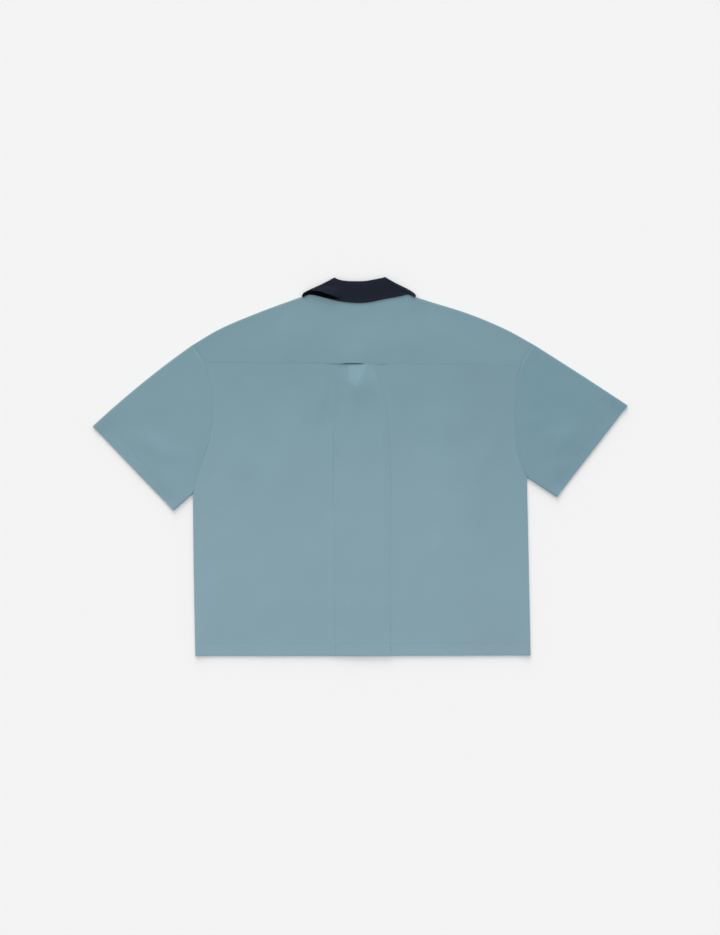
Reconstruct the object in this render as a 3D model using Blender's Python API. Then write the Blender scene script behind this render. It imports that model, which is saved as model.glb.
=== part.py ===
"""A short-sleeved bowling shirt, buttoned and laid face down on a flat surface, so its back is up.

+Z is up from the surface, +Y runs from the hem to the collar, and +X is the wearer's right.
The origin is on the surface, under the middle of the shirt's outline. Sizes are in millimetres,
and MM turns them into metres. Each piece of cloth is a grid of points on its outer face, which
a Solidify modifier thickens inwards.
"""

import bisect
import math
from collections import namedtuple

import bmesh
import bpy
from mathutils import Vector

MM = 0.001

# Cloth and seams.
WALL = 1.0
SEAM = 0.3  # between two pieces where they are sewn together
LAYER_GAP = 0.4  # between layers of one piece that lie on each other
LAYER = WALL + SEAM
FOLD_HEIGHT = 3.5  # outside, over two layers at a folded edge
FOLD_R = FOLD_HEIGHT / 2
SIDE_HEIGHT = (FOLD_HEIGHT - SEAM) / 2  # front and back meet half way up a side fold
SIDE_R = 1.2  # the rest of that height is straight
ARM_GAP = 0.18  # half the gap across an armhole seam, measured sideways
FLAT_FOLD = 0.02  # share of a quarter turn that is taken as flat
SIDE_FOLD_FADE = 0.2  # share of the armhole, from the armpit, over which a side fold opens out flat
CROWN = 2.7  # how much higher the middle of the body lies than its edges
CROWN_SIDE = 190.0  # reached this far inside the sides,
CROWN_TOP = 105.0  # the shoulders
CROWN_HEM = 90.0  # and the hem
SLEEVE_CROWN = 0.9
SLEEVE_CROWN_REACH = 0.2  # share of a sleeve's length over which its crown rises
SLEEVE_FOLD_END = 0.15  # and over which its soft folds fade out at the cuff
HEM_CROWN = 0.15  # share of the crown that is left at the hem

# Outline: (y, x) up each side and armhole, then (x, y) along each shoulder from armhole to neck.
# The collar's roll turns over the shoulder at roll_end, (out from NECK_X, y).
Side = namedtuple("Side", "sign hem_y side armhole shoulder cuff_top cuff_low bow yoke_y roll_end")
LEFT = Side(
    sign=-1,
    hem_y=-348.8,
    side=((-348.8, -305.7), (-171.7, -308.7), (-48.0, -310.0)),
    armhole=((-48.0, -310.0), (-13.9, -300.7), (23.2, -287.7), (60.3, -276.5), (125.3, -274.5),
             (162.4, -280.3), (195.8, -291.4), (226.5, -312.0)),
    shoulder=((-312.0, 226.5), (-263.6, 255.2), (-194.9, 284.9), (-116.9, 313.6), (-85.0, 324.5)),
    cuff_top=(-495.6, 77.0),
    cuff_low=(-345.2, -79.5),
    bow=4.0,
    yoke_y=193.8,
    roll_end=(47.2, 350.6),
)
RIGHT = Side(
    sign=1,
    hem_y=-347.6,
    side=((-347.6, 316.2), (-171.7, 312.6), (-19.6, 309.4)),
    armhole=((-19.6, 309.4), (13.9, 295.1), (69.6, 287.7), (125.3, 287.7),
             (166.1, 291.4), (199.5, 304.4), (227.5, 323.0)),
    shoulder=((81.0, 324.5), (111.4, 313.6), (202.3, 284.9), (272.8, 255.2), (323.0, 227.5)),
    cuff_top=(495.6, 116.0),
    cuff_low=(363.8, -55.6),
    bow=0.0,
    yoke_y=189.6,
    roll_end=(49.5, 351.8),
)
FRONT_SEAM_SHARE = 0.2  # how far up the yoke's armhole edge its front seam starts

# Neck: the neckline is a shallow arc behind and a half ellipse in front.
NECK_X = -2.0
NECK_HALF = 83.0
NECK_POINT_Y = 324.5
NECK_BACK_Y = 314.0
NECK_FRONT_DROP = 88.5
NECK_SEAM_OUT = 78.0  # from the centre line to where the yoke's front seam meets the neckline
NECK_FOLD_OUT = 0.5  # the shoulder fold starts this far outside the neck point
TIP_FOLD_IN = 2.5  # and is last measured this far inside the armhole

# Collar, half widths from NECK_X.
ROLL_DIP = 6.4
ROLL_HEIGHT = 9.0
LEAF_BACK_Y = 306.6
LEAF_TURN = (106.0, 318.2)  # where the leaf's edge turns over the shoulder
LEAF_POINT = (56.0, 192.0)
TIP_BOW = 3.4  # the turned leaf bows out this far, most of all
TIP_BOW_AT = 0.25  # this share of the way from its edge to the roll
LEAF_EDGE_POWER = 0.8  # below 1, the leaf's edge behind leaves its corners steeply
ROLL_SHOULDER = 2.0  # the roll behind is this much fuller half way to its ends
STAND_RISE = -0.2  # front stand's outer face at the roll, from the middle of the band
ROLL_FRONT_Y = 241.0
COLLAR_OPENING = 2.0  # each collar end, from the centre line
LEAF_SEAT = 1.5  # leaf edge's top above the yoke it lies on
NECK_GAP = 0.6  # between the collar's turn and the yoke's, which lie askew
COLLAR_LIFT = WALL + 0.5  # of the layers over the collar's front leaves,
COLLAR_LIFT_MARGIN = 8.0  # which come down from this far outside them
COLLAR_LIFT_REACH = 26.0

# Front closure.
OVERLAP_HALF = 15.0
BUTTON_R = 5.75
BUTTON_THICK = 2.2
BUTTON_TOP_Y = 206.0
BUTTON_PITCH = 90.0
BUTTONS = 6
BUTTON_HOLE_R = 0.95
BUTTON_HOLE_OUT = 1.9
RIDGE_HEIGHT = BUTTON_THICK + SEAM
RIDGE_FLAT = 8.0
RIDGE_SLOPE = 28.0  # to each side
RIDGE_TAIL = 70.0  # below the lowest button
RIDGE_HEAD = 22.0  # above the highest
OVERLAP_MARGIN = 3.0  # the right front lies over the left one's edge, and past it by this much
OVERLAP_SLOPE = 30.0

# Box pleat: its two outer folds down the back, and the depth that each tucks under.
Pleat = namedtuple("Pleat", "y left right")
PLEAT = (
    Pleat(-348.0, -46.0, 57.0),
    Pleat(-227.0, -46.0, 55.7),
    Pleat(125.0, -46.4, 46.4),
    Pleat(160.0, -42.5, 36.5),
    Pleat(192.0, -37.0, 26.0),
)
PLEAT_DEPTH = 30.0
PLEAT_FOLD_R = WALL + LAYER_GAP / 2
PLEAT_RISE = 2 * PLEAT_FOLD_R + LAYER_GAP  # top of the box over the back
PLEAT_MID = -5.6
PLEAT_YOKE_FLAT = 33.0
PLEAT_YOKE_SLOPE = 18.0
PLEAT_YOKE_REACH = 46.0
PUFF_HEIGHT = 1.6
PUFF_Y = 176.0
PUFF_WIDE = 15.0
PUFF_LONG = 11.0

# Soft folds in the upper layers: a ridge, or a trough where the height is negative.
Fold = namedtuple("Fold", "x0 y0 x1 y1 width height")
SOFT_FOLDS = (
    Fold(-120, 150, -150, -120, 26, 0.8),
    Fold(-205, 60, -190, -210, 24, -0.7),
    Fold(-255, -60, -215, -300, 22, 0.9),
    Fold(-90, -60, -105, -330, 24, 0.7),
    Fold(95, 160, 120, -40, 22, -0.7),
    Fold(150, 60, 165, -260, 26, 0.9),
    Fold(235, -40, 225, -310, 24, -0.8),
    Fold(262, 90, 200, -60, 20, 0.8),
    Fold(-250, 60, -180, -40, 20, 0.7),
    Fold(-330, 10, -430, 70, 20, 0.8),
    Fold(-350, 120, -400, 30, 22, -0.7),
    Fold(335, 20, 430, 90, 20, 0.8),
    Fold(345, 150, 420, 60, 22, -0.7),
    Fold(-160, 262, -60, 232, 20, 0.6),
    Fold(110, 240, 190, 262, 20, 0.6),
)
FOLD_CLEAR = 30.0  # soft folds fade out this far inside edges and seams

Finish = namedtuple("Finish", "colour roughness metallic")
SHIRT_CLOTH = Finish((0.215, 0.337, 0.392), 0.85, 0.0)
COLLAR_CLOTH = Finish((0.016, 0.023, 0.037), 0.85, 0.0)
BUTTON_PLASTIC = Finish((0.02, 0.028, 0.045), 0.35, 0.0)

# Grids: shares across and up each piece.
ARC = (0, 30, 60, 90)
SHOULDER_ARC = (60, 30, 0, -30, -60, -90)
PLEAT_ARC = (-90, -45, 0, 45, 90)
BOX_SHARES = (0.2, 0.35, 0.5, 0.65, 0.8)
SIDE_SHARES = (0, 0.05, 0.16, 0.3, 0.45, 0.62, 0.8, 1)
ARM_SHARES = (0.04, 0.1, 0.2, 0.31, 0.42, 0.54, 0.66, 0.78, 1)
YOKE_SHARES = (0, FRONT_SEAM_SHARE, 0.4, 0.6, 0.8, 1)
YOKE_FRONT_SHARES = (0.25, 0.5, 0.75, 1)
# Heights of the fronts' rows at the centre line, all but the first at the hem and the last at the neck.
CENTRE_YS = (-332, -297, -254, -208, -160, -110, -60, -50, -25, 10, 50, 90, 130, 165, 198, 216)
FLAT_STEPS = 9
FRONT_FLAT_STEPS = 7
NECK_OUTS = (70, 60, 48, 36, 22)  # out from the centre line, columns that the neckline cuts
OVERLAP_OUTS = (OVERLAP_HALF, 8, 0, -8, -OVERLAP_HALF)
SHOULDER_SHARES = (0, 0.1, 0.25, 0.42, 0.6, 0.8, 1)
NECK_STEPS = 10
SLEEVE_ROWS = (0, 0.06, 0.18, 0.32, 0.48, 0.64, 0.8, 0.92, 1)
LEAF_ROWS = (0, 0.12, 0.35, 0.65, 1)
ROLL_ARC = (30, 60, 90, 120, 150)
STAND_ROWS = (0, 0.5, 1)
TURN_ARC = (-90, -60, -30, 0, 30, 60, 90)
FRONT_COLLAR_OUTS = (NECK_SEAM_OUT, *NECK_OUTS, OVERLAP_HALF, 8)
BACK_COLLAR_STEPS = 12
BUTTON_SIDES = 24
BUTTON_HOLE_SIDES = 8
BUTTON_EDGE = 0.5
BUTTON_EDGE_STEPS = 2


def lerp(a, b, share):
    return a + (b - a) * share


def ease(share):
    """0 to 1, level at both ends."""
    share = min(max(share, 0.0), 1.0)
    return share * share * (3 - 2 * share)


def through(knots, at):
    """The smooth curve through (place, value) knots, read at one place."""
    at = min(max(at, knots[0][0]), knots[-1][0])
    places = [place for place, _ in knots]
    i = min(max(bisect.bisect_right(places, at) - 1, 0), len(knots) - 2)

    def slope(j):
        return (knots[j + 1][1] - knots[j][1]) / (knots[j + 1][0] - knots[j][0])

    here = slope(i)
    start = (slope(i - 1) + here) / 2 if i > 0 else here
    end = (here + slope(i + 1)) / 2 if i + 2 < len(knots) else here
    (a, value_a), (b, value_b) = knots[i], knots[i + 1]
    t, run = (at - a) / (b - a), b - a
    bend = t * (1 - t) * run
    return lerp(value_a, value_b, t) + bend * ((1 - t) * (start - here) - t * (end - here))


def coons(bottom, top, left, right):
    """The patch between four plan curves, as a function of the shares across and up."""

    def place(u, v):
        across = bottom(u) * (1 - v) + top(u) * v
        upward = left(v) * (1 - u) + right(v) * u
        corners = (bottom(0) * (1 - u) + bottom(1) * u) * (1 - v) + (top(0) * (1 - u) + top(1) * u) * v
        return across + upward - corners

    return place


def plan(x, y):
    return Vector((x, y))


# Outline


def armhole_place(side, y, outward=-ARM_GAP):
    return plan(through(side.armhole, y) + side.sign * outward, y)


def shoulder_tip_y(side):
    """Where the middle of the shoulder fold meets the armhole."""
    return side.armhole[-1][0] - FOLD_R


def yoke_edge_y(side, share):
    return lerp(side.yoke_y, shoulder_tip_y(side), share)


def body_edge(side, above_yoke=()):
    """(place, how folded) up a body panel's edge: its side fold, then its armhole seam."""
    armpit_y = side.side[-1][0]
    places = []
    for share in SIDE_SHARES:
        y = lerp(side.hem_y, armpit_y, share)
        places.append((plan(through(side.side, y), y), 1.0))
    heights = [lerp(armpit_y, side.yoke_y, share) for share in ARM_SHARES]
    heights += [yoke_edge_y(side, share) for share in above_yoke]
    heights[-1] -= SEAM / 2
    for y in heights:
        up = (y - armpit_y) / (side.yoke_y - armpit_y)
        places.append((armhole_place(side, y), 1 - ease(up / SIDE_FOLD_FADE)))
    return places


def yoke_seam_y(x):
    share = (x - LEFT.side[-1][1]) / (RIGHT.side[-1][1] - LEFT.side[-1][1])
    return lerp(LEFT.yoke_y, RIGHT.yoke_y, share)


def top_outline_y(x):
    """Height up the plan of the shoulder folds and the back neckline."""
    across = (x - NECK_X) / NECK_HALF
    if abs(across) < 1:
        return NECK_BACK_Y + (NECK_POINT_Y - NECK_BACK_Y) * across * across
    return through((LEFT if across < 0 else RIGHT).shoulder, x)


def front_neckline(side, degrees, outward=SEAM):
    """Round the front neckline: 0 at the shoulder, 90 at the centre front."""
    turn = math.radians(degrees)
    return plan(
        NECK_X + side.sign * (NECK_HALF + outward) * math.cos(turn),
        NECK_POINT_Y - (NECK_FRONT_DROP + outward) * math.sin(turn),
    )


def neckline_turn(out):
    """Degrees round the front neckline at this distance from the centre line."""
    return math.degrees(math.acos(out / NECK_HALF))


def yoke_neck_turn(down):
    """Degrees round the front neckline of the yoke's own edge: 0 at its fold, 1 at its front seam."""
    fold = math.degrees(math.asin(FOLD_R / NECK_FRONT_DROP))
    return lerp(fold, neckline_turn(NECK_SEAM_OUT), down)


# Heights


def collar_lift(x, y):
    """How far the layers rise over the collar's front leaves, which lie under them."""
    across = abs(x - NECK_X)
    outside = 0.0
    centre = (COLLAR_OPENING, ROLL_FRONT_Y)
    for (ax, ay), (bx, by) in ((centre, LEAF_POINT), (LEAF_POINT, LEAF_TURN)):
        length = math.hypot(bx - ax, by - ay)
        outside = max(outside, ((across - ax) * (by - ay) - (y - ay) * (bx - ax)) / length)
    return COLLAR_LIFT * (1 - ease((outside - COLLAR_LIFT_MARGIN) / COLLAR_LIFT_REACH))


def ridge_lift(x, y):
    """How far the closed fronts rise over the row of buttons."""
    lowest = BUTTON_TOP_Y - BUTTON_PITCH * (BUTTONS - 1)
    tail = ease((lowest - RIDGE_FLAT - y) / RIDGE_TAIL)
    head = ease((y - BUTTON_TOP_Y - RIDGE_FLAT) / RIDGE_HEAD)
    across = ease((abs(x - NECK_X) - RIDGE_FLAT) / RIDGE_SLOPE)
    return RIDGE_HEIGHT * (1 - max(tail, head)) * (1 - across)


def inside(x, y, side_reach, top_reach):
    """0 on the body's sides, armholes and shoulders to 1 at these distances inside them."""
    near = min(x - edge_x(LEFT, y), edge_x(RIGHT, y) - x)
    return ease(near / side_reach) * ease((top_outline_y(x) - y) / top_reach)


def edge_x(side, y):
    table = side.side if y < side.side[-1][0] else side.armhole
    return through(table, y)


def soft_folds(x, y):
    total = 0.0
    for fold in SOFT_FOLDS:
        run = plan(fold.x1 - fold.x0, fold.y1 - fold.y0)
        off = plan(x - fold.x0, y - fold.y0)
        share = off.dot(run) / run.length_squared
        if 0 < share < 1:
            apart = (off - run * share).length / fold.width
            total += fold.height * math.exp(-apart * apart) * math.sin(math.pi * share) ** 2
    return total


def back_height(x, y):
    """Top of the back and the yoke."""
    up = y - LEFT.hem_y
    crown = CROWN * inside(x, y, CROWN_SIDE, CROWN_TOP) * lerp(HEM_CROWN, 1, ease(up / CROWN_HEM))
    folds = soft_folds(x, y) * inside(x, y, FOLD_CLEAR, FOLD_CLEAR) * ease(up / FOLD_CLEAR)
    return FOLD_HEIGHT + collar_lift(x, y) + crown + folds


def yoke_pleat_lift(x, y):
    """How far the yoke rises over the top of the pleat."""
    across = 1 - ease((abs(x - PLEAT_MID) - PLEAT_YOKE_FLAT) / PLEAT_YOKE_SLOPE)
    return PLEAT_RISE * across * (1 - ease((y - yoke_seam_y(x)) / PLEAT_YOKE_REACH))


# Making the pieces


def material(name, finish):
    made = bpy.data.materials.new(name)
    made.use_nodes = True
    shader = made.node_tree.nodes["Principled BSDF"]
    shader.inputs["Base Color"].default_value = (*finish.colour, 1)
    shader.inputs["Roughness"].default_value = finish.roughness
    shader.inputs["Metallic"].default_value = finish.metallic
    return made


def add_object(name, bm, finish):
    mesh = bpy.data.meshes.new(name)
    bm.to_mesh(mesh)
    bm.free()
    mesh.materials.append(material(name, finish))
    mesh.shade_smooth()
    obj = bpy.data.objects.new(name, mesh)
    bpy.context.scene.collection.objects.link(obj)
    return obj


def cloth(name, rows, finish, ring=False):
    """A piece of cloth: faces between rows of points on its outer face, thickened inwards."""
    bm = bmesh.new()
    grid = [[bm.verts.new(Vector(point) * MM) if point else None for point in row] for row in rows]
    for low, high in zip(grid, grid[1:]):
        for i in range(len(low) if ring else len(low) - 1):
            nxt = (i + 1) % len(low)
            corners = (low[i], low[nxt], high[nxt], high[i])
            if all(corners):
                bm.faces.new(corners)
    obj = add_object(name, bm, finish)
    wall = obj.modifiers.new("wall", "SOLIDIFY")
    wall.thickness = WALL * MM
    wall.offset = -1
    wall.use_even_offset = True
    return obj


def side_fold(folded):
    """(inset, drop) pairs from a body panel's edge inwards: a quarter turn at 1, opened out flat at 0."""
    folded = max(folded, FLAT_FOLD)
    radius = SIDE_R / folded
    angles = [math.radians(folded * (90 - degrees)) for degrees in ARC]
    section = [
        (radius * (math.sin(angles[0]) - math.sin(angle)), radius * (1 - math.cos(angle))) for angle in angles
    ]
    straight = (SIDE_HEIGHT - SIDE_R) * folded
    edge_drop = section[0][1] + straight * math.sin(angles[0])
    return [(-straight * math.cos(angles[0]), edge_drop)] + section


def pleat_section(y):
    """Across the box pleat from left to right: (x, height over the back, on the box) triples."""
    left = through([(row.y, row.left) for row in PLEAT], y) + PLEAT_FOLD_R
    right = through([(row.y, row.right) for row in PLEAT], y) - PLEAT_FOLD_R
    tight = LAYER_GAP / 2
    turns = [math.radians(degrees) for degrees in PLEAT_ARC]
    half = [(PLEAT_DEPTH + tight * math.cos(turn), tight * (1 + math.sin(turn))) for turn in turns]
    half.append((PLEAT_DEPTH / 2, LAYER_GAP))  # between the fold tucked under the box and the box's edge
    half += [
        (-PLEAT_FOLD_R * math.cos(turn), LAYER_GAP + PLEAT_FOLD_R * (1 + math.sin(turn))) for turn in turns
    ]
    section = [(left + across, lift, False) for across, lift in half]
    section += [(lerp(left, right, share), PLEAT_RISE, True) for share in BOX_SHARES]
    section += [(right - across, lift, False) for across, lift in reversed(half)]
    return section


def puff(x, y):
    """The box stands up a little where it leaves the yoke."""
    across, along = (x - PLEAT_MID) / PUFF_WIDE, (y - PUFF_Y) / PUFF_LONG
    return PUFF_HEIGHT * math.exp(-across * across - along * along)


def back_panel(finish):
    rows = []
    for (left, folded), (right, _) in zip(body_edge(LEFT), body_edge(RIGHT)):
        middle_y = (left.y + right.y) / 2
        edge = side_fold(folded)
        pleat = pleat_section(middle_y)
        flat_left, flat_right = left.x + edge[-1][0], right.x - edge[-1][0]
        steps = [i / FLAT_STEPS for i in range(1, FLAT_STEPS)]
        section = [(left.x + inset, -drop) for inset, drop in edge]
        section += [(lerp(flat_left, pleat[0][0], share), 0.0) for share in steps]
        section += [(x, lift + (puff(x, middle_y) if box else 0.0)) for x, lift, box in pleat]
        section += [(lerp(pleat[-1][0], flat_right, share), 0.0) for share in steps]
        section += [(right.x - inset, -drop) for inset, drop in reversed(edge)]
        row = []
        for x, lift in section:
            y = lerp(left.y, right.y, (x - left.x) / (right.x - left.x))
            row.append((x, y, back_height(x, y) + lift))
        rows.append(row)
    return cloth("back_panel", rows, finish)


def shoulder_fold(x):
    """The middle of a shoulder fold at this x, and the way out from it, in plan."""
    step = 2.0
    slope = (top_outline_y(x + step) - top_outline_y(x - step)) / (2 * step)
    outward = plan(-slope, 1).normalized()
    return plan(x, top_outline_y(x)) - outward * FOLD_R, outward


def shoulder_columns(side):
    """(middle of the fold, way out) down one shoulder, from the neck to the armhole."""
    neck_x = NECK_X + side.sign * NECK_HALF
    tip_x = side.armhole[-1][1]
    columns = []
    for share in SHOULDER_SHARES:
        x = lerp(neck_x + side.sign * NECK_FOLD_OUT, tip_x - side.sign * TIP_FOLD_IN, share)
        columns.append(shoulder_fold(x))
    last_outward = columns[-1][1]
    columns[-1] = (armhole_place(side, shoulder_tip_y(side)), last_outward)
    return columns


def yoke(finish):
    """The yoke: its back part, then on each side a turn over the shoulder and a front part."""
    left, right = shoulder_columns(LEFT)[::-1], shoulder_columns(RIGHT)
    neck_opening = [None] * (NECK_STEPS - 1)
    rows = yoke_back(left, right)
    for degrees in SHOULDER_ARC:
        turned_left = [shoulder_turn(*column, degrees) for column in left]
        turned_right = [shoulder_turn(*column, degrees) for column in right]
        rows.append(turned_left + neck_opening + turned_right)
    place_left, place_right = yoke_front(LEFT, left), yoke_front(RIGHT, right)
    for down in YOKE_FRONT_SHARES:
        row = [place_left(i, down) for i in range(len(left))]
        row += neck_opening + [place_right(i, down) for i in range(len(right))]
        rows.append(row)
    return cloth("back_yoke", rows, finish)


def yoke_back(left, right):
    """Rows of the yoke's back part, from its lower seam to the shoulder folds and the neckline."""
    neck_left, neck_right = left[-1][0], right[0][0]
    tops = [middle for middle, _ in left]
    for i in range(1, NECK_STEPS):
        x = lerp(neck_left.x, neck_right.x, i / NECK_STEPS)
        share = (x - NECK_X) / NECK_HALF
        tops.append(plan(x, lerp(NECK_BACK_Y, neck_left.y, share * share)))
    tops += [middle for middle, _ in right]
    first, last = tops[0], tops[-1]
    start = armhole_place(LEFT, LEFT.yoke_y + SEAM / 2)
    end = armhole_place(RIGHT, RIGHT.yoke_y + SEAM / 2)
    rows = []
    for up in YOKE_SHARES:
        bend_left = armhole_place(LEFT, lerp(start.y, first.y, up)) - start.lerp(first, up)
        bend_right = armhole_place(RIGHT, lerp(end.y, last.y, up)) - end.lerp(last, up)
        row = []
        for top in tops:
            share = (top.x - first.x) / (last.x - first.x)
            x, y = start.lerp(end, share).lerp(top, up) + bend_left.lerp(bend_right, share)
            row.append((x, y, back_height(x, y) + yoke_pleat_lift(x, y)))
        rows.append(row)
    return rows


def shoulder_turn(middle, outward, degrees):
    angle = math.radians(degrees)
    x, y = middle + outward * FOLD_R * math.cos(angle)
    return (x, y, collar_lift(*middle) + FOLD_R * (1 + math.sin(angle)))


def yoke_front(side, columns):
    """Points on the yoke's front part: column, and share down from the fold to the front seam."""
    arm = armhole_place(side, yoke_edge_y(side, FRONT_SEAM_SHARE) + SEAM / 2)
    neck = front_neckline(side, neckline_turn(NECK_SEAM_OUT)) + plan(0, SEAM / 2)
    left_end, right_end = (arm, neck) if side.sign < 0 else (neck, arm)
    folds = [middle for middle, _ in columns]

    def edge_down(fold, end, down):
        if end is arm:
            return armhole_place(side, lerp(fold.y, end.y, down))
        return front_neckline(side, yoke_neck_turn(down)) if 0 < down < 1 else (end if down else fold)

    def place(i, down):
        share = (folds[i].x - folds[0].x) / (folds[-1].x - folds[0].x)
        straight = folds[i].lerp(left_end.lerp(right_end, share), down)
        bend_left = edge_down(folds[0], left_end, down) - folds[0].lerp(left_end, down)
        bend_right = edge_down(folds[-1], right_end, down) - folds[-1].lerp(right_end, down)
        x, y = straight + bend_left.lerp(bend_right, share)
        return (x, y, collar_lift(x, y))

    return place


def front(name, side, finish):
    """One front, from the side fold to its edge past the centre line."""
    edges = body_edge(side, above_yoke=(FRONT_SEAM_SHARE,))
    hem_out, armhole_end = edges[0][0], edges[-1][0]
    seam_neck = front_neckline(side, neckline_turn(NECK_SEAM_OUT)) - plan(0, SEAM / 2)
    outs = front_columns(side, armhole_end)
    tops = []
    for out in outs:
        if out > NECK_SEAM_OUT:
            reach = (out - NECK_SEAM_OUT) / (outs[0] - NECK_SEAM_OUT)
            tops.append(seam_neck.lerp(armhole_end, reach))
        elif out == NECK_SEAM_OUT:
            tops.append(seam_neck)
        else:
            tops.append(front_neckline(side, neckline_turn(out)))
    hem_centre = plan(NECK_X + side.sign * outs[-1], side.hem_y)
    centres = [hem_centre] + [plan(hem_centre.x, y) for y in CENTRE_YS] + [tops[-1]]
    width = abs(hem_centre.x - hem_out.x)
    shares = [(outs[0] - out) / (outs[0] - outs[-1]) for out in outs]
    corners = (hem_out, hem_centre, armhole_end, tops[-1])
    rows = []
    for i, ((outer, folded), centre) in enumerate(zip(edges, centres)):
        up = i / (len(edges) - 1)
        section = [(inset / width, armhole_end, rise) for inset, rise in side_fold(folded)]
        section += [(share, top, 0.0) for share, top in zip(shares[1:], tops[1:])]
        row = []
        for share, top, rise in section:
            x, y = front_place(share, up, outer, centre, top, corners)
            over = 0.0
            if side is RIGHT:
                past = x - NECK_X - OVERLAP_HALF - OVERLAP_MARGIN
                over = LAYER * (1 - ease(past / OVERLAP_SLOPE))
            row.append((x, y, collar_lift(x, y) + ridge_lift(x, y) + over + rise))
        rows.append(row if side is RIGHT else row[::-1])
    return cloth(name, rows, finish)


def front_columns(side, armhole_end):
    """Distances from the centre line of a front's columns, from the side inwards."""
    outermost = abs(armhole_end.x - NECK_X)
    flats = [lerp(outermost, NECK_SEAM_OUT, i / FRONT_FLAT_STEPS) for i in range(FRONT_FLAT_STEPS)]
    return flats + [NECK_SEAM_OUT, *NECK_OUTS, *OVERLAP_OUTS]


def front_place(share, up, outer, centre, top, corners):
    """A front's plan: its columns run from the hem to their tops, bent to meet both edges."""
    hem_out, hem_centre, top_out, top_centre = corners
    column = hem_out.lerp(hem_centre, share).lerp(top, up)
    straight = hem_out.lerp(top_out, up).lerp(hem_centre.lerp(top_centre, up), share)
    return column + outer.lerp(centre, share) - straight


def armhole_shares(side):
    """The shares down the armhole, from the shoulder, of the points where the body's rows meet it."""
    armpit_y, shoulder_y = side.armhole[0][0], side.armhole[-1][0]
    heights = [lerp(armpit_y, side.yoke_y, share) for share in ARM_SHARES[1:-1]]
    heights += [yoke_edge_y(side, share) for share in YOKE_SHARES[:-1]]
    return [(shoulder_y - y) / (shoulder_y - armpit_y) for y in reversed(heights)]


def sleeve(name, side, finish):
    """A sleeve flattened into a tube of two layers, folded along its top and its underarm."""
    shoulder_y, armpit_y = side.armhole[-1][0], side.armhole[0][0]
    top_start, low_start = (armhole_place(side, y, ARM_GAP) for y in (shoulder_y, armpit_y))
    cuff_top, cuff_low = plan(*side.cuff_top), plan(*side.cuff_low)
    run = cuff_top - top_start
    bow_way = plan(side.sign * abs(run.y), abs(run.x)).normalized()
    patch = coons(
        lambda u: top_start.lerp(cuff_top, u) + bow_way * side.bow * 4 * u * (1 - u),
        lambda u: low_start.lerp(cuff_low, u),
        lambda v: armhole_place(side, lerp(shoulder_y, armpit_y, v), ARM_GAP),
        lambda v: cuff_top.lerp(cuff_low, v),
    )
    rows = []
    for u in SLEEVE_ROWS:
        width = (patch(u, 0) - patch(u, 1)).length
        turns = [math.radians(degrees) for degrees in ARC]
        fold = [(FOLD_R * (1 - math.cos(turn)) / width, FOLD_R * (1 + math.sin(turn))) for turn in turns]
        upper = fold + [(share, FOLD_HEIGHT) for share in armhole_shares(side)]
        upper += [(1 - share, height) for share, height in reversed(fold)]
        ring = []
        for share, height in upper:
            x, y = patch(u, share)
            mask = math.sin(math.pi * share) * ease(u / SLEEVE_CROWN_REACH)
            crown = SLEEVE_CROWN * (1 - u / 2) + soft_folds(x, y) * ease((1 - u) / SLEEVE_FOLD_END)
            ring.append((x, y, height + crown * mask))
        for share, height in reversed(upper[1:-1]):
            ring.append((*patch(u, share), FOLD_HEIGHT - height))
        rows.append(ring if side is RIGHT else ring[::-1])
    return cloth(name, rows, finish, ring=True)


def tip_bow(share):
    """How far the turned leaf bows out, this share of the way from its edge to the roll."""
    fall = 1 / TIP_BOW_AT - 1
    return TIP_BOW * share / TIP_BOW_AT * ((1 - share) / (1 - TIP_BOW_AT)) ** fall


def collar_column(edge, roll, seam, outwards, degrees):
    """Outer points of one section across the collar: up the leaf, over the roll, down the stand.

    degrees is -90 where the band lies in front, 90 where it lies behind, and runs between as the
    band turns over the shoulder. outwards are the ways out of that turn at the roll and the seam."""
    angle = math.radians(degrees)
    behind = (math.sin(angle) + 1) / 2
    middle_z = COLLAR_LIFT + FOLD_R
    tight = FOLD_R - WALL
    way = (roll - edge).normalized()

    def point(place, radius, outward=outwards[0], bow=0.0):
        flat = place + outward * math.cos(angle) * (radius + bow)
        return (flat.x, flat.y, middle_z + math.sin(angle) * radius)

    leaf_edge = lerp(middle_z, FOLD_R + LEAF_SEAT, behind)
    leaf_roll = lerp(middle_z, ROLL_HEIGHT - middle_z, behind)
    stand_roll = lerp(STAND_RISE, tight, behind)
    column = [
        point(edge.lerp(roll, share), lerp(leaf_edge, leaf_roll, ease(share)), bow=tip_bow(share))
        for share in LEAF_ROWS
    ]
    bulge, mid = (leaf_roll - stand_roll) / 2, (leaf_roll + stand_roll) / 2
    for turn in ROLL_ARC:
        swing = math.radians(turn)
        column.append(point(roll + way * bulge * math.sin(swing), mid + bulge * math.cos(swing)))
    for share in STAND_ROWS:
        outward = outwards[0].lerp(outwards[1], share).normalized()
        column.append(point(roll.lerp(seam, share), lerp(stand_roll, tight, share), outward))
    return column


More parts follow.
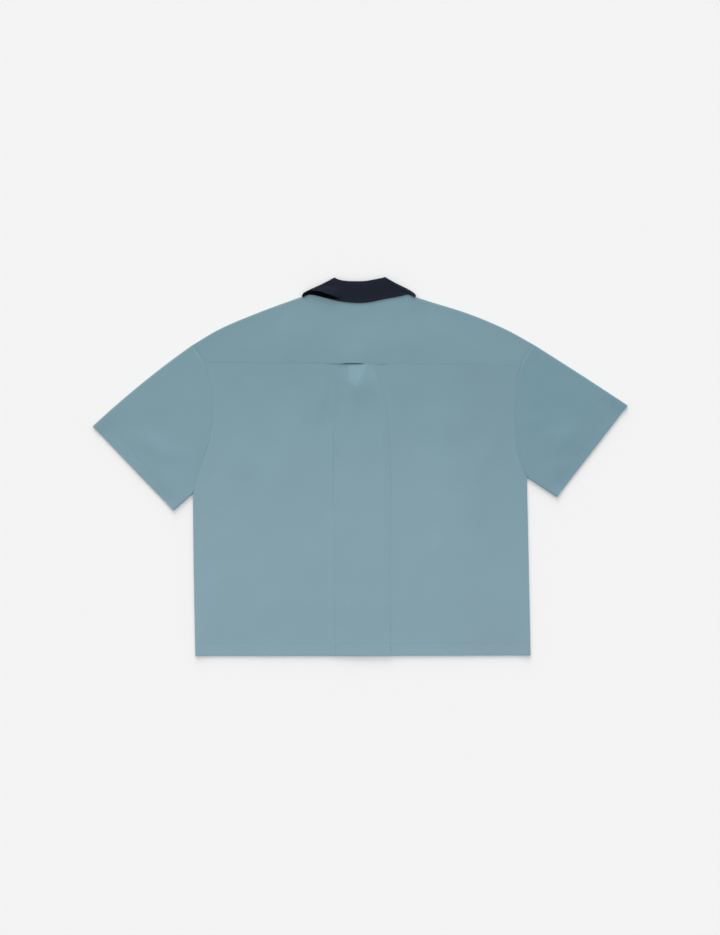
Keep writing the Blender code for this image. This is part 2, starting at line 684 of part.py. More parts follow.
def collar_side(side):
    """The collar's sections from one end, up the front and over the turn to the back."""
    roll_out, roll_y = side.roll_end
    slope = plan(LEAF_TURN[0] - roll_out, LEAF_TURN[1] - roll_y)
    outward = plan(-slope.y * side.sign, slope.x).normalized()

    def out_from_centre(x, y):
        return plan(NECK_X + side.sign * x, y)

    point = out_from_centre(*LEAF_POINT)
    turn_edge = out_from_centre(*LEAF_TURN) - outward * (COLLAR_LIFT + FOLD_R)
    turn_roll = out_from_centre(roll_out, roll_y) - outward * ROLL_HEIGHT / 2
    neck, neck_out = shoulder_fold(NECK_X + side.sign * (NECK_HALF + NECK_FOLD_OUT))
    neck = neck - plan(side.sign * NECK_GAP, 0)
    turns = [neckline_turn(out) for out in (COLLAR_OPENING, *reversed(FRONT_COLLAR_OUTS))]
    turns += [yoke_neck_turn(down) for down in reversed(YOKE_FRONT_SHARES[:-1])]
    sections = []
    for turn in turns:
        share = 1 - turn / turns[0]
        angle = math.radians(90 * (1 - share))
        roll_reach = abs(turn_roll.x - NECK_X) - COLLAR_OPENING
        roll = out_from_centre(
            COLLAR_OPENING + roll_reach * math.cos(angle),
            turn_roll.y - (turn_roll.y - ROLL_FRONT_Y) * math.sin(angle),
        )
        edge = point.lerp(turn_edge, share)
        sections.append((edge, roll, front_neckline(side, turn, 0), (outward, neck_out), -90))
    sections += [(turn_edge, turn_roll, neck, (outward, neck_out), degrees) for degrees in TURN_ARC]
    return sections


def collar(finish):
    """The collar as a band round the neck, its ends open at the centre front."""
    left, right = collar_side(LEFT), collar_side(RIGHT)
    (left_edge, left_roll, left_neck), (right_edge, right_roll, right_neck) = left[-1][:3], right[-1][:3]
    back = []
    for i in range(1, BACK_COLLAR_STEPS):
        share = i / BACK_COLLAR_STEPS
        middle = 4 * share * (1 - share)
        edge = left_edge.lerp(right_edge, share)
        edge.y = lerp(edge.y, LEAF_BACK_Y, middle ** LEAF_EDGE_POWER)
        roll = left_roll.lerp(right_roll, share)
        roll.y -= ROLL_DIP * middle - ROLL_SHOULDER * (1 - abs(2 * share - 1))
        seam = left_neck.lerp(right_neck, share)
        seam.y = lerp(left_neck.y, NECK_BACK_Y + SEAM, middle)
        back.append((edge, roll, seam, (plan(0, 1), plan(0, 1)), 90))
    columns = [collar_column(*section) for section in left + back + right[::-1]]
    return cloth("collar", columns[::-1], finish)


def button(number, finish):
    """A four-hole button, face down under the left front."""
    y = BUTTON_TOP_Y - BUTTON_PITCH * (number - 1)
    bm = bmesh.new()
    disc(bm, BUTTON_SIDES, BUTTON_R, BUTTON_THICK)
    rim = [edge for edge in bm.edges if edge.verts[0].co.z * edge.verts[1].co.z > 0]
    bmesh.ops.bevel(
        bm, geom=rim, offset=BUTTON_EDGE * MM, segments=BUTTON_EDGE_STEPS, affect="EDGES", profile=0.5
    )
    obj = add_object(f"button_{number}", bm, finish)
    obj.location = Vector((NECK_X, y, BUTTON_THICK / 2)) * MM
    for i in range(4):
        angle = math.radians(45 + 90 * i)
        hole = cutter(f"button_{number}_hole_{i}", BUTTON_HOLE_R, BUTTON_THICK * 2)
        hole.location = obj.location + Vector((math.cos(angle), math.sin(angle), 0)) * BUTTON_HOLE_OUT * MM
        cut = obj.modifiers.new("hole", "BOOLEAN")
        cut.object = hole
        cut.operation = "DIFFERENCE"
    return obj


def disc(bm, sides, radius, depth):
    bmesh.ops.create_cone(
        bm, cap_ends=True, segments=sides, radius1=radius * MM, radius2=radius * MM, depth=depth * MM
    )


def cutter(name, radius, depth):
    bm = bmesh.new()
    disc(bm, BUTTON_HOLE_SIDES, radius, depth)
    mesh = bpy.data.meshes.new(name)
    bm.to_mesh(mesh)
    bm.free()
    obj = bpy.data.objects.new(name, mesh)
    bpy.context.scene.collection.objects.link(obj)
    obj.hide_render = True
    obj.display_type = "WIRE"
    return obj


def build():
    for obj in list(bpy.data.objects):
        bpy.data.objects.remove(obj)
    back_panel(SHIRT_CLOTH)
    yoke(SHIRT_CLOTH)
    front("front_left", LEFT, SHIRT_CLOTH)
    front("front_right", RIGHT, SHIRT_CLOTH)
    sleeve("sleeve_left", LEFT, SHIRT_CLOTH)
    sleeve("sleeve_right", RIGHT, SHIRT_CLOTH)
    collar(COLLAR_CLOTH)
    for number in range(1, BUTTONS + 1):
        button(number, BUTTON_PLASTIC)


build()
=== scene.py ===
"""Looks of the short-sleeved bowling shirt, laid face down with its back up.

Sizes are in millimetres in the row frame, and MM turns them into metres. Each piece of cloth is a grid
of points on its outer face, which shell() makes into a thin closed mesh.
"""

import math
from collections import namedtuple
from functools import partialmethod

import bmesh
import bpy
import numpy as np
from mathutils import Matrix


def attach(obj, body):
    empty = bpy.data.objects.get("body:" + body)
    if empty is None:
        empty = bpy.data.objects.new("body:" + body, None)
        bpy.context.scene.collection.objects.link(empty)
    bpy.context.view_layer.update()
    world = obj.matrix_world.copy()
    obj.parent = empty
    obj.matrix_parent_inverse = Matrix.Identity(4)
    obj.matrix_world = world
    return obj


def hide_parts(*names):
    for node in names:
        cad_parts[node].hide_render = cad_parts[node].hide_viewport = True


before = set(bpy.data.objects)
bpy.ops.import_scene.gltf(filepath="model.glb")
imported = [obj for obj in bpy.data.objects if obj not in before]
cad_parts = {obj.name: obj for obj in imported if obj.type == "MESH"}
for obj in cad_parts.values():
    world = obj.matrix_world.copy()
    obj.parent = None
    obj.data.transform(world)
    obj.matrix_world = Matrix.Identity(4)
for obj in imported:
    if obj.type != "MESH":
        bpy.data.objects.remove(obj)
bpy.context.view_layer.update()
MM = 0.001
CORNERS = ((1, 1), (-1, 1), (-1, -1), (1, -1))

# Cloth
PLY = 0.3
COLLAR_PLY = 0.9
TURN_R = 0.34  # outside radius of a turned edge, over two plies
SEAM_R = 0.12  # of the yoke's lower edge
EDGE_R, EDGE_REACH = 0.5, 1.2  # of a panel's edge along a seam
SIDE_R, SIDE_FADE = 1.68, 26  # of the folds down the body's sides, which end this far above the armpits
FOLD_HEIGHT = 3.5
FOLD_R = FOLD_HEIGHT / 2
CROWN, CROWN_SIDE, CROWN_TOP, CROWN_HEM, HEM_CROWN = 2.7, 190, 105, 220, 0.15
SLEEVE_CROWN, SLEEVE_CROWN_REACH, SLEEVE_FOLD_END = 0.9, 0.2, 0.15
FOLD_CLEAR = 30  # soft folds stay this far from the outline

# Outline: (y, x) up each side and armhole, then (x, y) along each shoulder.
Side = namedtuple("Side", "sign hem_y side armhole shoulder cuff_top cuff_low bow yoke_y")
LEFT = Side(
    -1, -348.8,
    ((-348.8, -305.7), (-171.7, -308.7), (-48, -310)),
    ((-48, -310), (-13.9, -300.7), (23.2, -287.7), (60.3, -276.5), (125.3, -274.5),
     (162.4, -280.3), (195.8, -291.4), (226.5, -312)),
    ((-312, 226.5), (-263.6, 255.2), (-194.9, 284.9), (-116.9, 313.6), (-85, 324.5)),
    (-495.6, 77), (-345.2, -79.5), 4, 193.8,
)
RIGHT = Side(
    1, -347.9,
    ((-347.9, 316.2), (-171.7, 312.6), (-17.8, 309.4)),
    ((-17.8, 309.4), (13.9, 295.1), (69.6, 287.7), (125.3, 287.7),
     (166.1, 291.4), (199.5, 304.4), (227.5, 323)),
    ((81, 324.5), (111.4, 313.6), (202.3, 284.9), (272.8, 255.2), (323, 227.5)),
    (496.4, 115.5), (364.6, -54.5), 0.6, 189.6,
)
FRONT_SEAM_SHARE = 0.2

# Neck and collar
NECK_X, NECK_HALF, NECK_POINT_Y, NECK_BACK_Y = -2, 83, 324.5, 314
NECK_FRONT_DROP, NECK_SEAM_OUT, NECK_FOLD_OUT, TIP_FOLD_IN, NECK_GAP = 88.5, 78, 0.5, 2.5, 0.6
NECK_CLEAR = 0.3  # the neckline from the collar's stand
ROLL_HEIGHT = 9
ROLL_ENDS = {-1: (47.2, 350.6), 1: (49.5, 351.8)}  # outside, out from the neck's middle
# (x, y) of the roll behind, outside
ROLL_EDGE = ((-47.1, 350.8), (-39.3, 348), (-27.8, 346.1), (-16.7, 345.6), (-4.6, 345.4), (7.1, 345.6),
             (18.6, 347.1), (29.7, 348.9), (39, 350.8), (46.4, 352.1))
LEAF_TURN, LEAF_POINT = (106, 318.2), (56, 192)
# How far the turned leaf bows out over the shoulder, by distance from its tip
TIP_BOW = ((0, 0), (3.5, 2.2), (8, 3.1), (14, 3.4), (20, 3.3), (30, 2.3), (42, 1.1), (60, 0))
# (x, y) of the leaf's edge behind, which curves up to both shoulders
LEAF_EDGE = ((-103, 318.5), (-97, 320.4), (-84, 319.3), (-65, 314.6), (-37, 308.1), (7, 305.3),
             (46, 312.3), (74, 317.4), (91, 320.8), (100, 318.5))
LEAF_EDGE_END = 0.03  # share of its length
# The leaf stands up along its left edge, over a hollow between these lines, as (x, y, slope); the hollow's
# shade is painted near black
HOLLOW_TOPS, HOLLOW_FLOOR = ((-80, 326.2, -0.05), (-75, 325.8, -0.3275)), (-52, 311.5, 0.07)
# HOLLOW_SHADE, HOLLOW_SOFT and HOLLOW_LEVEL set the hollow's painted shade
HOLLOW_RISE, HOLLOW_LIP, HOLLOW_FADE, HOLLOW_SHADE, HOLLOW_SOFT = 4, 0.6, 26, 0.8, 0.9
HOLLOW_END, HOLLOW_END_REACH, HOLLOW_TURN, HOLLOW_LEVEL = -62, 30, 60, 4.5
STAND_RISE, ROLL_FRONT_Y, COLLAR_OPENING, LEAF_SEAT = -0.2, 241, 2, 1.5
COLLAR_LIFT, COLLAR_LIFT_MARGIN, COLLAR_LIFT_REACH = 1.5, 8, 26
COLLAR_LIFT_SPREAD, COLLAR_SPREAD_REACH = 75, 60  # its reach over the back, this far from the outline

# Front closure
OVERLAP_HALF, OVERLAP_MARGIN, OVERLAP_SLOPE, OVERLAP_RISE, OVERLAP_TURN = 15, 3, 30, 0.95, 0.42
BUTTON_R, BUTTON_THICK, BUTTON_TOP_Y, BUTTON_PITCH, BUTTONS = 5.75, 2.2, 206, 90, 6
# (radius, height) up over the button
BUTTON_PROFILE = ((0, 0.55), (3.1, 0.55), (3.7, 0.4), (4.3, 0.08), (4.9, 0), (5.4, 0.12), (5.68, 0.45),
                  (BUTTON_R, 0.9), (5.7, 1.4), (5.4, 1.75), (4.6, 2.05), (3, BUTTON_THICK),
                  (0, BUTTON_THICK))
BUTTON_HOLE_R, BUTTON_HOLE_OUT = 0.95, 1.34
SEWN_APART, SEWN_Z, SEWN_R, SEWN_DEPTH = 0.28, 0.42, 0.3, 0.9  # the two threads through each pair of holes
HOLE_HALF_LONG, HOLE_HALF_WIDE, HOLE_THREAD, HOLE_BEAD, HOLE_SUNK = 7, 0.75, 0.4, 0.12, 0.05
RIDGE_HEIGHT, RIDGE_FLAT, RIDGE_SLOPE, RIDGE_TAIL, RIDGE_HEAD = 2.5, 8, 28, 70, 22
EDGE_STITCH = 5

# Box pleat
# (y, x of the left fold, x of the right one)
PLEAT = ((-348, -46, 57), (-227, -46, 55.7), (125, -46.4, 46.4), (160, -42.5, 36.5),
         (192, -37, 26))
PLEAT_DEPTH, PLEAT_TURN, PLEAT_FOLD_R = 30, 0.03, 0.33
PLEAT_EDGE = 2 * (PLEAT_TURN + PLEAT_FOLD_R)  # the box's edge over the back
PLEAT_RISE, PLEAT_SOFT_LEFT, PLEAT_SOFT_RIGHT = 2.2, 45, 13
PLEAT_AT_HEM = 0.5  # the share of its rise that the box keeps there
PLEAT_BEDDING, PLEAT_BEDDING_REACH = 0.45, 16  # the cloth rises this much to the box's right fold
PLEAT_PRESSED, PLEAT_PRESSED_REACH = 0.42, 14  # and the back comes up this much against both folds
# Columns at a fold: out over the back, in under the box and out again as shares of the depth, and over it
PLEAT_BESIDE, PLEAT_CREVICE = (PLEAT_PRESSED_REACH, 9, 5, 2.5, 1, 0.12), 0.15
PLEAT_IN, PLEAT_OUT, PLEAT_OVER = (0.1, 0.35, 0.65, 0.9), (0.9, 0.65, 0.35, 0.12), (1, 2.5, 4.5, 7, 10, 14)
PLEAT_MID, PLEAT_YOKE_FLAT, PLEAT_YOKE_SLOPE, PLEAT_YOKE_REACH, PLEAT_AT_YOKE = -5.6, 22, 44, 85, 0.45
PLEAT_NARROWING = 34  # the box comes up from the yoke's seam over this length
# Below it the box puffs up: height, how far down, and half its width and length
PUFF, PUFF_DOWN, PUFF_WIDE, PUFF_LONG = 1.7, 42, 20, 26
# Where the yoke gapes over the box: its edge arches up, and the back dips below it and rises above it
MOUTH_X, MOUTH_WIDE, MOUTH_SLOPE, MOUTH_RISE, MOUTH_REACH = -13.5, 12, 16, 0.7, 45
MOUTH_ARCH, MOUTH_ARCH_REACH, MOUTH_DIP, MOUTH_DIP_REACH = 1.3, 24, 0.4, 12
MOUTH_UNDER, MOUTH_UNDER_REACH = 0.5, 5

# Soft folds in the upper layers: (x, y) to (x, y), width and height, negative for a trough
SOFT_FOLDS = (
    (-120, 150, -150, -120, 26, 0.8), (-205, 60, -190, -210, 24, -0.7), (-255, -60, -215, -300, 22, 0.9),
    (-90, -60, -105, -330, 24, 0.7), (95, 160, 120, -40, 22, -0.7), (150, 60, 165, -260, 26, 0.9),
    (235, -40, 225, -310, 24, -0.8), (262, 90, 200, -60, 20, 0.8), (-250, 60, -180, -40, 20, 0.7),
    (-330, 10, -430, 70, 20, 0.8), (-350, 120, -400, 30, 22, -0.7), (335, 20, 430, 90, 20, 0.8),
    (345, 150, 420, 60, 22, -0.7), (-160, 262, -60, 232, 24, 0.35), (110, 240, 190, 262, 24, 0.4),
)
SOFT_SHARE = 0.75  # of their heights

# In the lower layers, which they lift off the surface
LOWER_FOLDS = (
    (-150, 150, -175, -90, 24, 0.5), (-240, 40, -205, -230, 22, 0.45), (-95, -40, -110, -300, 20, 0.5),
    (120, 120, 145, -120, 24, 0.5), (215, 60, 235, -260, 22, 0.55), (85, -120, 100, -330, 18, 0.4),
    (-340, 30, -430, 90, 20, 0.5), (345, 60, 430, 110, 20, 0.45),
)

# Unevenness: a seed, a height, the shortest and the longest wave
BACK_WAVES, SLEEVE_WAVES, LOWER_WAVES = (3, 0.16, 28, 120), (5, 0.14, 28, 100), (9, 0.1, 28, 120)

# Hems: rows up from the edge, the stitched one and the last one turned under. A hem lies lower by the
# drop than the solid's, which is thicker, and puckers over its turned part.
Hem = namedtuple("Hem", "rows stitched turned drop drop_reach pucker pucker_at groove")
HEM = Hem(
    (0.34, 1, 2, 4, 7.5, 12, 17, 20, 21.2, 21.8, 22.4, 24, 27, 31, 36),
    21.8, 22.4, 1.3, 110, (11, 0.12, 7, 16), 15, 0.06,
)
CUFF = Hem(
    (0.34, 1, 2, 4.5, 9, 14, 19, 23, 24.2, 24.8, 25.4, 27, 30, 35),
    24.8, 25.4, 1.3, 80, (12, 0.11, 7, 16), 17, 0.1,
)
PUCKER_REACH, GROOVE_REACH, CUFF_DROP_SIDES = 7, 0.7, 0.12

# Seams and stitching
YOKE_EDGE_ROWS = (0, 0.06, 0.2, 0.5, 1, 1.6, 2.2, 3.2, 4.5, 6.5, 9, 13, 18)
YOKE_STITCHED, YOKE_GROOVE, YOKE_GROOVE_REACH = 1.6, 0.05, 0.5
BELOW_SEAM = 4  # where the panels' close rows below the yoke's seam begin
SEAM_ROWS = (-2.5, -1.6, -0.9, -0.5, -0.15)
YOKE_UNDER_ROWS = (0.05, 0.3, 1.2, 4, 8)  # of the back, above the seam
YOKE_UNDER_DIP = ((-0.6, 0), (-0.15, 0.05), (0.3, 0.5), (1.5, 0.6))  # how deep it lies there
# Rows of the leaf, from its rim and from its stitches, and the stitches' row in a section
LEAF_RIM, LEAF_RIM_ROWS, LEAF_STITCH_ROWS = 0.9, (-0.25, 0, 0.3, 1, 2.5), (-0.6, 0, 0.6, 2)
LEAF_STITCH_IN, LEAF_STITCH_ROW, LEAF_GROOVE, LEAF_GROOVE_REACH = 5, 10, 0.13, 0.45
LEAF_ROUND, LEAF_ROUND_REACH = 0.3, 0.5
SLEEVE_TUCK, SLEEVE_TUCK_DROP = (0.3, 1.4, 2.8), (0.45, 0.85, 0.9)  # of its last rows, under the body's edge
TUCK_LOW, TUCK_LOW_REACH, TUCK_TOP_REACH = 6, 24, 6
STITCH, STITCH_PITCH, STITCH_R, STITCH_DEPTH = 2.3, 3, 0.17, 0.1
# Along a thread: share of its length, of its radius, and rise
STRAND = ((0.12, 0.75, 0.02), (0.5, 1, 0.07), (0.88, 0.75, 0.02))

# Finishes: the cloth's colour changes from its hem up, between two places
LOW_BLUE, HIGH_BLUE, NAVY = (0.2297, 0.3555, 0.4150), (0.1834, 0.3072, 0.3545), (0.0171, 0.0206, 0.0322)
LOW_Y, HIGH_Y = -320, 360
WEAVE_PITCH, WEAVE_SHADE, SLUB_SCALE, SLUB_SHADE, CLOUD_SCALE = 0.45, 0.02, 900, 0.06, 7
# Painted highlight: the box is painted lighter below the yoke, in a patch with slanting sides, given as x
# over y
PATCH_SHADE, PATCH_TOP, PATCH_TOP_SOFT = 0.08, 192, 1.5
PATCH_LEFT, PATCH_LEFT_TOP, PATCH_LEFT_SLOPE, PATCH_LEFT_SOFT = -22.3, 162, 1.2, 1.2
PATCH_RIGHT_FOOT, PATCH_RIGHT_SLOPE, PATCH_RIGHT_SOFT = 160, 0.49, 3
# Painted shade: under the yoke, above this line, the back is painted dark where the yoke's edge shades it
COVER_SHADE, COVER_Y, COVER_SLOPE, COVER_DROOP, COVER_SOFT = 0.76, 192.1, -0.0068, 0.8, 0.5
# Painted shade: the back is painted a little darker towards its right side, where the light falls off
RIGHT_SHADE, RIGHT_SHADE_X, RIGHT_SHADE_REACH = 0.045, 140, 80

# Light and camera
FLOOR_HALF, FLOOR_UNDER, FLOOR_WHITE = 6000, 0.2, 0.897
SUN, SUN_WIDE, SUN_TILT, SUN_TURN = 2.3, 24, -74, 10  # strength and degrees
SKY, SKY_TOWARDS_COLLAR = 0.8, 0.7
LENS, SENSOR, VIEW = 100, 36, 1735  # the view's longer side on the floor


def lerp(a, b, share):
    return a + (b - a) * share


def ease(share):
    share = np.clip(share, 0, 1)
    return share * share * (3 - 2 * share)


def fade(away, reach):
    """From 1 where nothing is away to 0 at the reach."""
    return 1 - ease(away / reach)


def bell(away):
    return np.exp(-away * away)


def through(knots, at):
    """The smooth curve through (place, value) knots."""
    places, values = np.array(knots, float).T
    at = np.clip(at, places[0], places[-1])
    i = np.clip(np.searchsorted(places, at, side="right") - 1, 0, len(places) - 2)
    slopes = np.diff(values) / np.diff(places)
    beside = np.pad(slopes, 1, "edge")
    tangents = (beside[:-1] + beside[1:]) / 2
    run = places[i + 1] - places[i]
    t = (at - places[i]) / run
    bend = (1 - t) * (tangents[i] - slopes[i]) - t * (tangents[i + 1] - slopes[i])
    return lerp(values[i], values[i + 1], t) + t * (1 - t) * run * bend


def stack(*parts):
    """Coordinates, broadcast together, as points."""
    return np.stack(np.broadcast_arrays(*parts), -1).astype(float)


# Heights


def top_outline_y(x):
    across = (x - NECK_X) / NECK_HALF
    arc = NECK_BACK_Y + (NECK_POINT_Y - NECK_BACK_Y) * across**2
    slope = np.where(across < 0, through(LEFT.shoulder, x), through(RIGHT.shoulder, x))
    return np.where(np.abs(across) < 1, arc, slope)


def edge_x(side, y):
    return np.where(y < side.side[-1][0], through(side.side, y), through(side.armhole, y))


def inside(x, y, side_reach, top_reach):
    near = np.minimum(x - edge_x(LEFT, y), edge_x(RIGHT, y) - x)
    return ease(near / side_reach) * ease((top_outline_y(x) - y) / top_reach)


def clear(x, y, hem_y):
    return inside(x, y, FOLD_CLEAR, FOLD_CLEAR) * ease((y - hem_y) / FOLD_CLEAR)


def collar_lift(x, y, reach=COLLAR_LIFT_REACH):
    across = np.abs(x - NECK_X)
    outside = np.zeros(np.broadcast(x, y).shape)
    centre = (COLLAR_OPENING, ROLL_FRONT_Y)
    for (ax, ay), (bx, by) in ((centre, LEAF_POINT), (LEAF_POINT, LEAF_TURN)):
        length = math.hypot(bx - ax, by - ay)
        outside = np.maximum(outside, ((across - ax) * (by - ay) - (y - ay) * (bx - ax)) / length)
    return COLLAR_LIFT * fade(outside - COLLAR_LIFT_MARGIN, reach)


def ridge_lift(x, y):
    lowest = BUTTON_TOP_Y - BUTTON_PITCH * (BUTTONS - 1)
    tail = ease((lowest - RIDGE_FLAT - y) / RIDGE_TAIL)
    head = ease((y - BUTTON_TOP_Y - RIDGE_FLAT) / RIDGE_HEAD)
    return RIDGE_HEIGHT * (1 - np.maximum(tail, head)) * fade(np.abs(x - NECK_X) - RIDGE_FLAT, RIDGE_SLOPE)


def soft_folds(x, y, folds=SOFT_FOLDS):
    total = np.zeros(np.broadcast(x, y).shape)
    for x0, y0, x1, y1, width, height in folds:
        run_x, run_y = x1 - x0, y1 - y0
        square = run_x**2 + run_y**2
        share = ((x - x0) * run_x + (y - y0) * run_y) / square
        apart = ((x - x0) * run_y - (y - y0) * run_x) / math.sqrt(square)
        along = np.sin(math.pi * np.clip(share, 0, 1)) ** 2
        total = total + height * bell(apart / width) * along
    return total


def ripples(x, y, seed, height, shortest, longest, count=14):
    """Waves in all directions, the longer ones higher."""
    rng = np.random.default_rng(seed)
    total = np.zeros(np.broadcast(x, y).shape)
    for _ in range(count):
        turn, phase = rng.uniform(0, math.tau, 2)
        length = shortest * (longest / shortest) ** rng.uniform()
        wave = (x * math.cos(turn) + y * math.sin(turn)) * math.tau / length + phase
        total = total + np.sin(wave) * (length / longest) ** 0.7
    return height * total / math.sqrt(count)


def hem_marks(hem, x, y, away):
    """The pucker of a hem, less the groove of its stitches."""
    pucker = ripples(x, y, *hem.pucker) * bell((away - hem.pucker_at) / PUCKER_REACH)
    return pucker - hem.groove * bell((away - hem.stitched) / GROOVE_REACH)


def lower_lift(x, y):
    return np.maximum(soft_folds(x, y, LOWER_FOLDS) + ripples(x, y, *LOWER_WAVES), 0)


def back_height(x, y):
    up = y - LEFT.hem_y
    crown = CROWN * inside(x, y, CROWN_SIDE, CROWN_TOP) * lerp(HEM_CROWN, 1, ease(up / CROWN_HEM))
    folds = (SOFT_SHARE * soft_folds(x, y) + ripples(x, y, *BACK_WAVES)) * clear(x, y, LEFT.hem_y)
    down = ease((top_outline_y(x) - y) / COLLAR_SPREAD_REACH)
    return FOLD_HEIGHT + collar_lift(x, y, lerp(COLLAR_LIFT_REACH, COLLAR_LIFT_SPREAD, down)) + crown + folds


def yoke_seam_y(x):
    share = (x - LEFT.side[-1][1]) / (RIGHT.side[-1][1] - LEFT.side[-1][1])
    return lerp(LEFT.yoke_y, RIGHT.yoke_y, share)


def yoke_pleat_lift(x, y):
    across = fade(np.abs(x - PLEAT_MID) - PLEAT_YOKE_FLAT, PLEAT_YOKE_SLOPE)
    return PLEAT_AT_YOKE * PLEAT_RISE * across * fade(y - yoke_seam_y(x), PLEAT_YOKE_REACH)


def mouth_at(x):
    return fade(np.abs(x - MOUTH_X) - MOUTH_WIDE, MOUTH_SLOPE)


# Grids of cloth


def grid_faces(shape, ring=False, loop=False):
    """Quads of a grid, its rows closed to rings, its columns to loops."""
    index = np.arange(shape[0] * shape[1]).reshape(shape[:2])
    if ring:
        index = np.hstack([index, index[:, :1]])
    if loop:
        index = np.vstack([index, index[:1]])
    return np.stack([index[:-1, :-1], index[:-1, 1:], index[1:, 1:], index[1:, :-1]], -1).reshape(-1, 4)


def grid_normals(grid, ring=False):
    points = grid.reshape(-1, 3)
    quads = grid_faces(grid.shape, ring)
    quads = quads[~np.isnan(points[quads]).any(axis=(1, 2))]
    corners = points[quads]
    facing = np.cross(corners[:, 2] - corners[:, 0], corners[:, 3] - corners[:, 1])
    total = np.zeros_like(points)
    for k in range(4):
        np.add.at(total, quads[:, k], facing)
    length = np.linalg.norm(total, axis=1, keepdims=True)
    return (total / np.where(length > 0, length, 1)).reshape(grid.shape), quads


def turn_under(grid, hem, ring=False, steps=5):
    """Adds the turned part of a hem at the grid's first row."""
    rows = hem.rows.index(hem.turned) + 1
    normal = grid_normals(grid, ring)[0]
    outward = grid[0] - grid[1]
    outward /= np.linalg.norm(outward, axis=1, keepdims=True)
    turned = (grid[:rows] - 2 * TURN_R * normal[:rows])[::-1]
    middle = grid[0] - TURN_R * normal[0]
    angles = np.linspace(-math.pi / 2, math.pi / 2, steps + 2)[1:-1]
    arc = [middle + TURN_R * (math.cos(a) * outward + math.sin(a) * normal[0]) for a in angles]
    return np.concatenate([turned, np.array(arc), grid])


def new_object(name, data):
    made = bpy.data.objects.new(name, data)
    bpy.context.scene.collection.objects.link(made)
    return made


def new_piece(name, verts, faces, material):
    mesh = bpy.data.meshes.new(name)
    mesh.from_pydata(np.asarray(verts) * MM, [], faces)
    mesh.materials.append(material)
    mesh.shade_smooth()
    mesh.set_sharp_from_angle(angle=math.radians(50))
    piece = new_object(name, mesh)
    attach(piece, "root")
    return piece


def shell(name, node, grid, material, ply=PLY, ring=False):
    """A closed shell of cloth that replaces a node, its outer face on the grid."""
    normal, quads = grid_normals(grid, ring)
    outer = grid.reshape(-1, 3)
    used, flat = np.unique(quads, return_inverse=True)
    quads = flat.reshape(-1, 4)
    outer = outer[used]
    inner = outer - normal.reshape(-1, 3)[used] * ply
    count = len(used)
    starts, ends = quads.ravel(), np.roll(quads, -1, axis=1).ravel()
    single = ~np.isin(starts * count + ends, ends * count + starts)
    a, b = starts[single], ends[single]
    rim = np.stack([b, a, a + count, b + count], -1)
    faces = np.concatenate([quads, quads[:, ::-1] + count, rim])
    piece = new_piece(name, np.concatenate([outer, inner]), faces.tolist(), material)
    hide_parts(node)
    return piece


def spindle_faces(rings, sides):
    """Faces from a first point over rings of points to a last one."""
    ring = [(k, (k + 1) % sides) for k in range(sides)]
    top = 1 + (rings - 1) * sides
    faces = [(0, 1 + n, 1 + k) for k, n in ring] + (grid_faces((rings, sides), ring=True) + 1).tolist()
    return faces + [(top + k, top + n, top + sides) for k, n in ring]


def add_strand(verts, faces, start, end, up, radius=STITCH_R, depth=STITCH_DEPTH, sides=6):
    """A short thread from one point to another, its ends going down into the cloth."""
    way = (end - start) / np.linalg.norm(end - start)
    turn = np.arange(sides)[:, None] * math.tau / sides
    ring = (np.cross(up, way) * np.cos(turn) + up * np.sin(turn)) * radius
    rings = [lerp(start, end, share) + up * rise + ring * size for share, size, rise in STRAND]
    faces += [[len(verts) + i for i in face] for face in spindle_faces(len(rings), sides)]
    verts += [start - up * depth, *np.vstack(rings), end - up * depth]


def stitches(name, lines, material):
    """Short threads along lines of (points, normals)."""
    verts, faces = [], []
    for points, normal in lines:
        along = np.concatenate([[0], np.cumsum(np.linalg.norm(np.diff(points, axis=0), axis=1))])
        for start in np.arange(STITCH_PITCH / 2, along[-1] - STITCH_PITCH, STITCH_PITCH):
            ends = np.array([start, start + STITCH])
            place = np.stack([np.interp(ends, along, points[:, k]) for k in range(3)], -1)
            up = np.array([np.interp(start, along, normal[:, k]) for k in range(3)])
            add_strand(verts, faces, *place, up / np.linalg.norm(up))
    return new_piece(name, verts, faces, material)


def line(grid, at, ring=False):
    """Points and normals along a row or a column of a grid."""
    return grid[at], grid_normals(grid, ring)[0][at]


# Body


def armhole_point(side, y):
    return stack(through(side.armhole, y), y)


def edge_sections(folded, steps=7):
    """Insets and drops at a panel's edge: a wide turn down a side fold, a tight one at a seam."""
    radius = lerp(EDGE_R, SIDE_R, folded)[:, None]
    turn = np.linspace(0, math.pi / 2, steps)
    return radius * (1 - np.cos(turn)), radius * (1 - np.sin(turn))


def body_rows(side, above, side_rows=40, arm_rows=40):
    """Up a body panel's edge, with rows above the seam: (x, y) of its outline, and how folded it is."""
    armpit_y = side.side[-1][0]
    low = side.hem_y + np.array(HEM.rows)
    middle = np.linspace(low[-1], armpit_y, side_rows + 1)[1:]
    upper = np.linspace(armpit_y, side.yoke_y - BELOW_SEAM, arm_rows + 1)[1:]
    y = np.concatenate([low, middle, upper, side.yoke_y + np.array(SEAM_ROWS), above])
    return stack(edge_x(side, y), y), fade(y - armpit_y, SIDE_FADE)


def pleat_folds(y):
    return [through([(row[0], row[k]) for row in PLEAT], y) for k in (1, 2)]


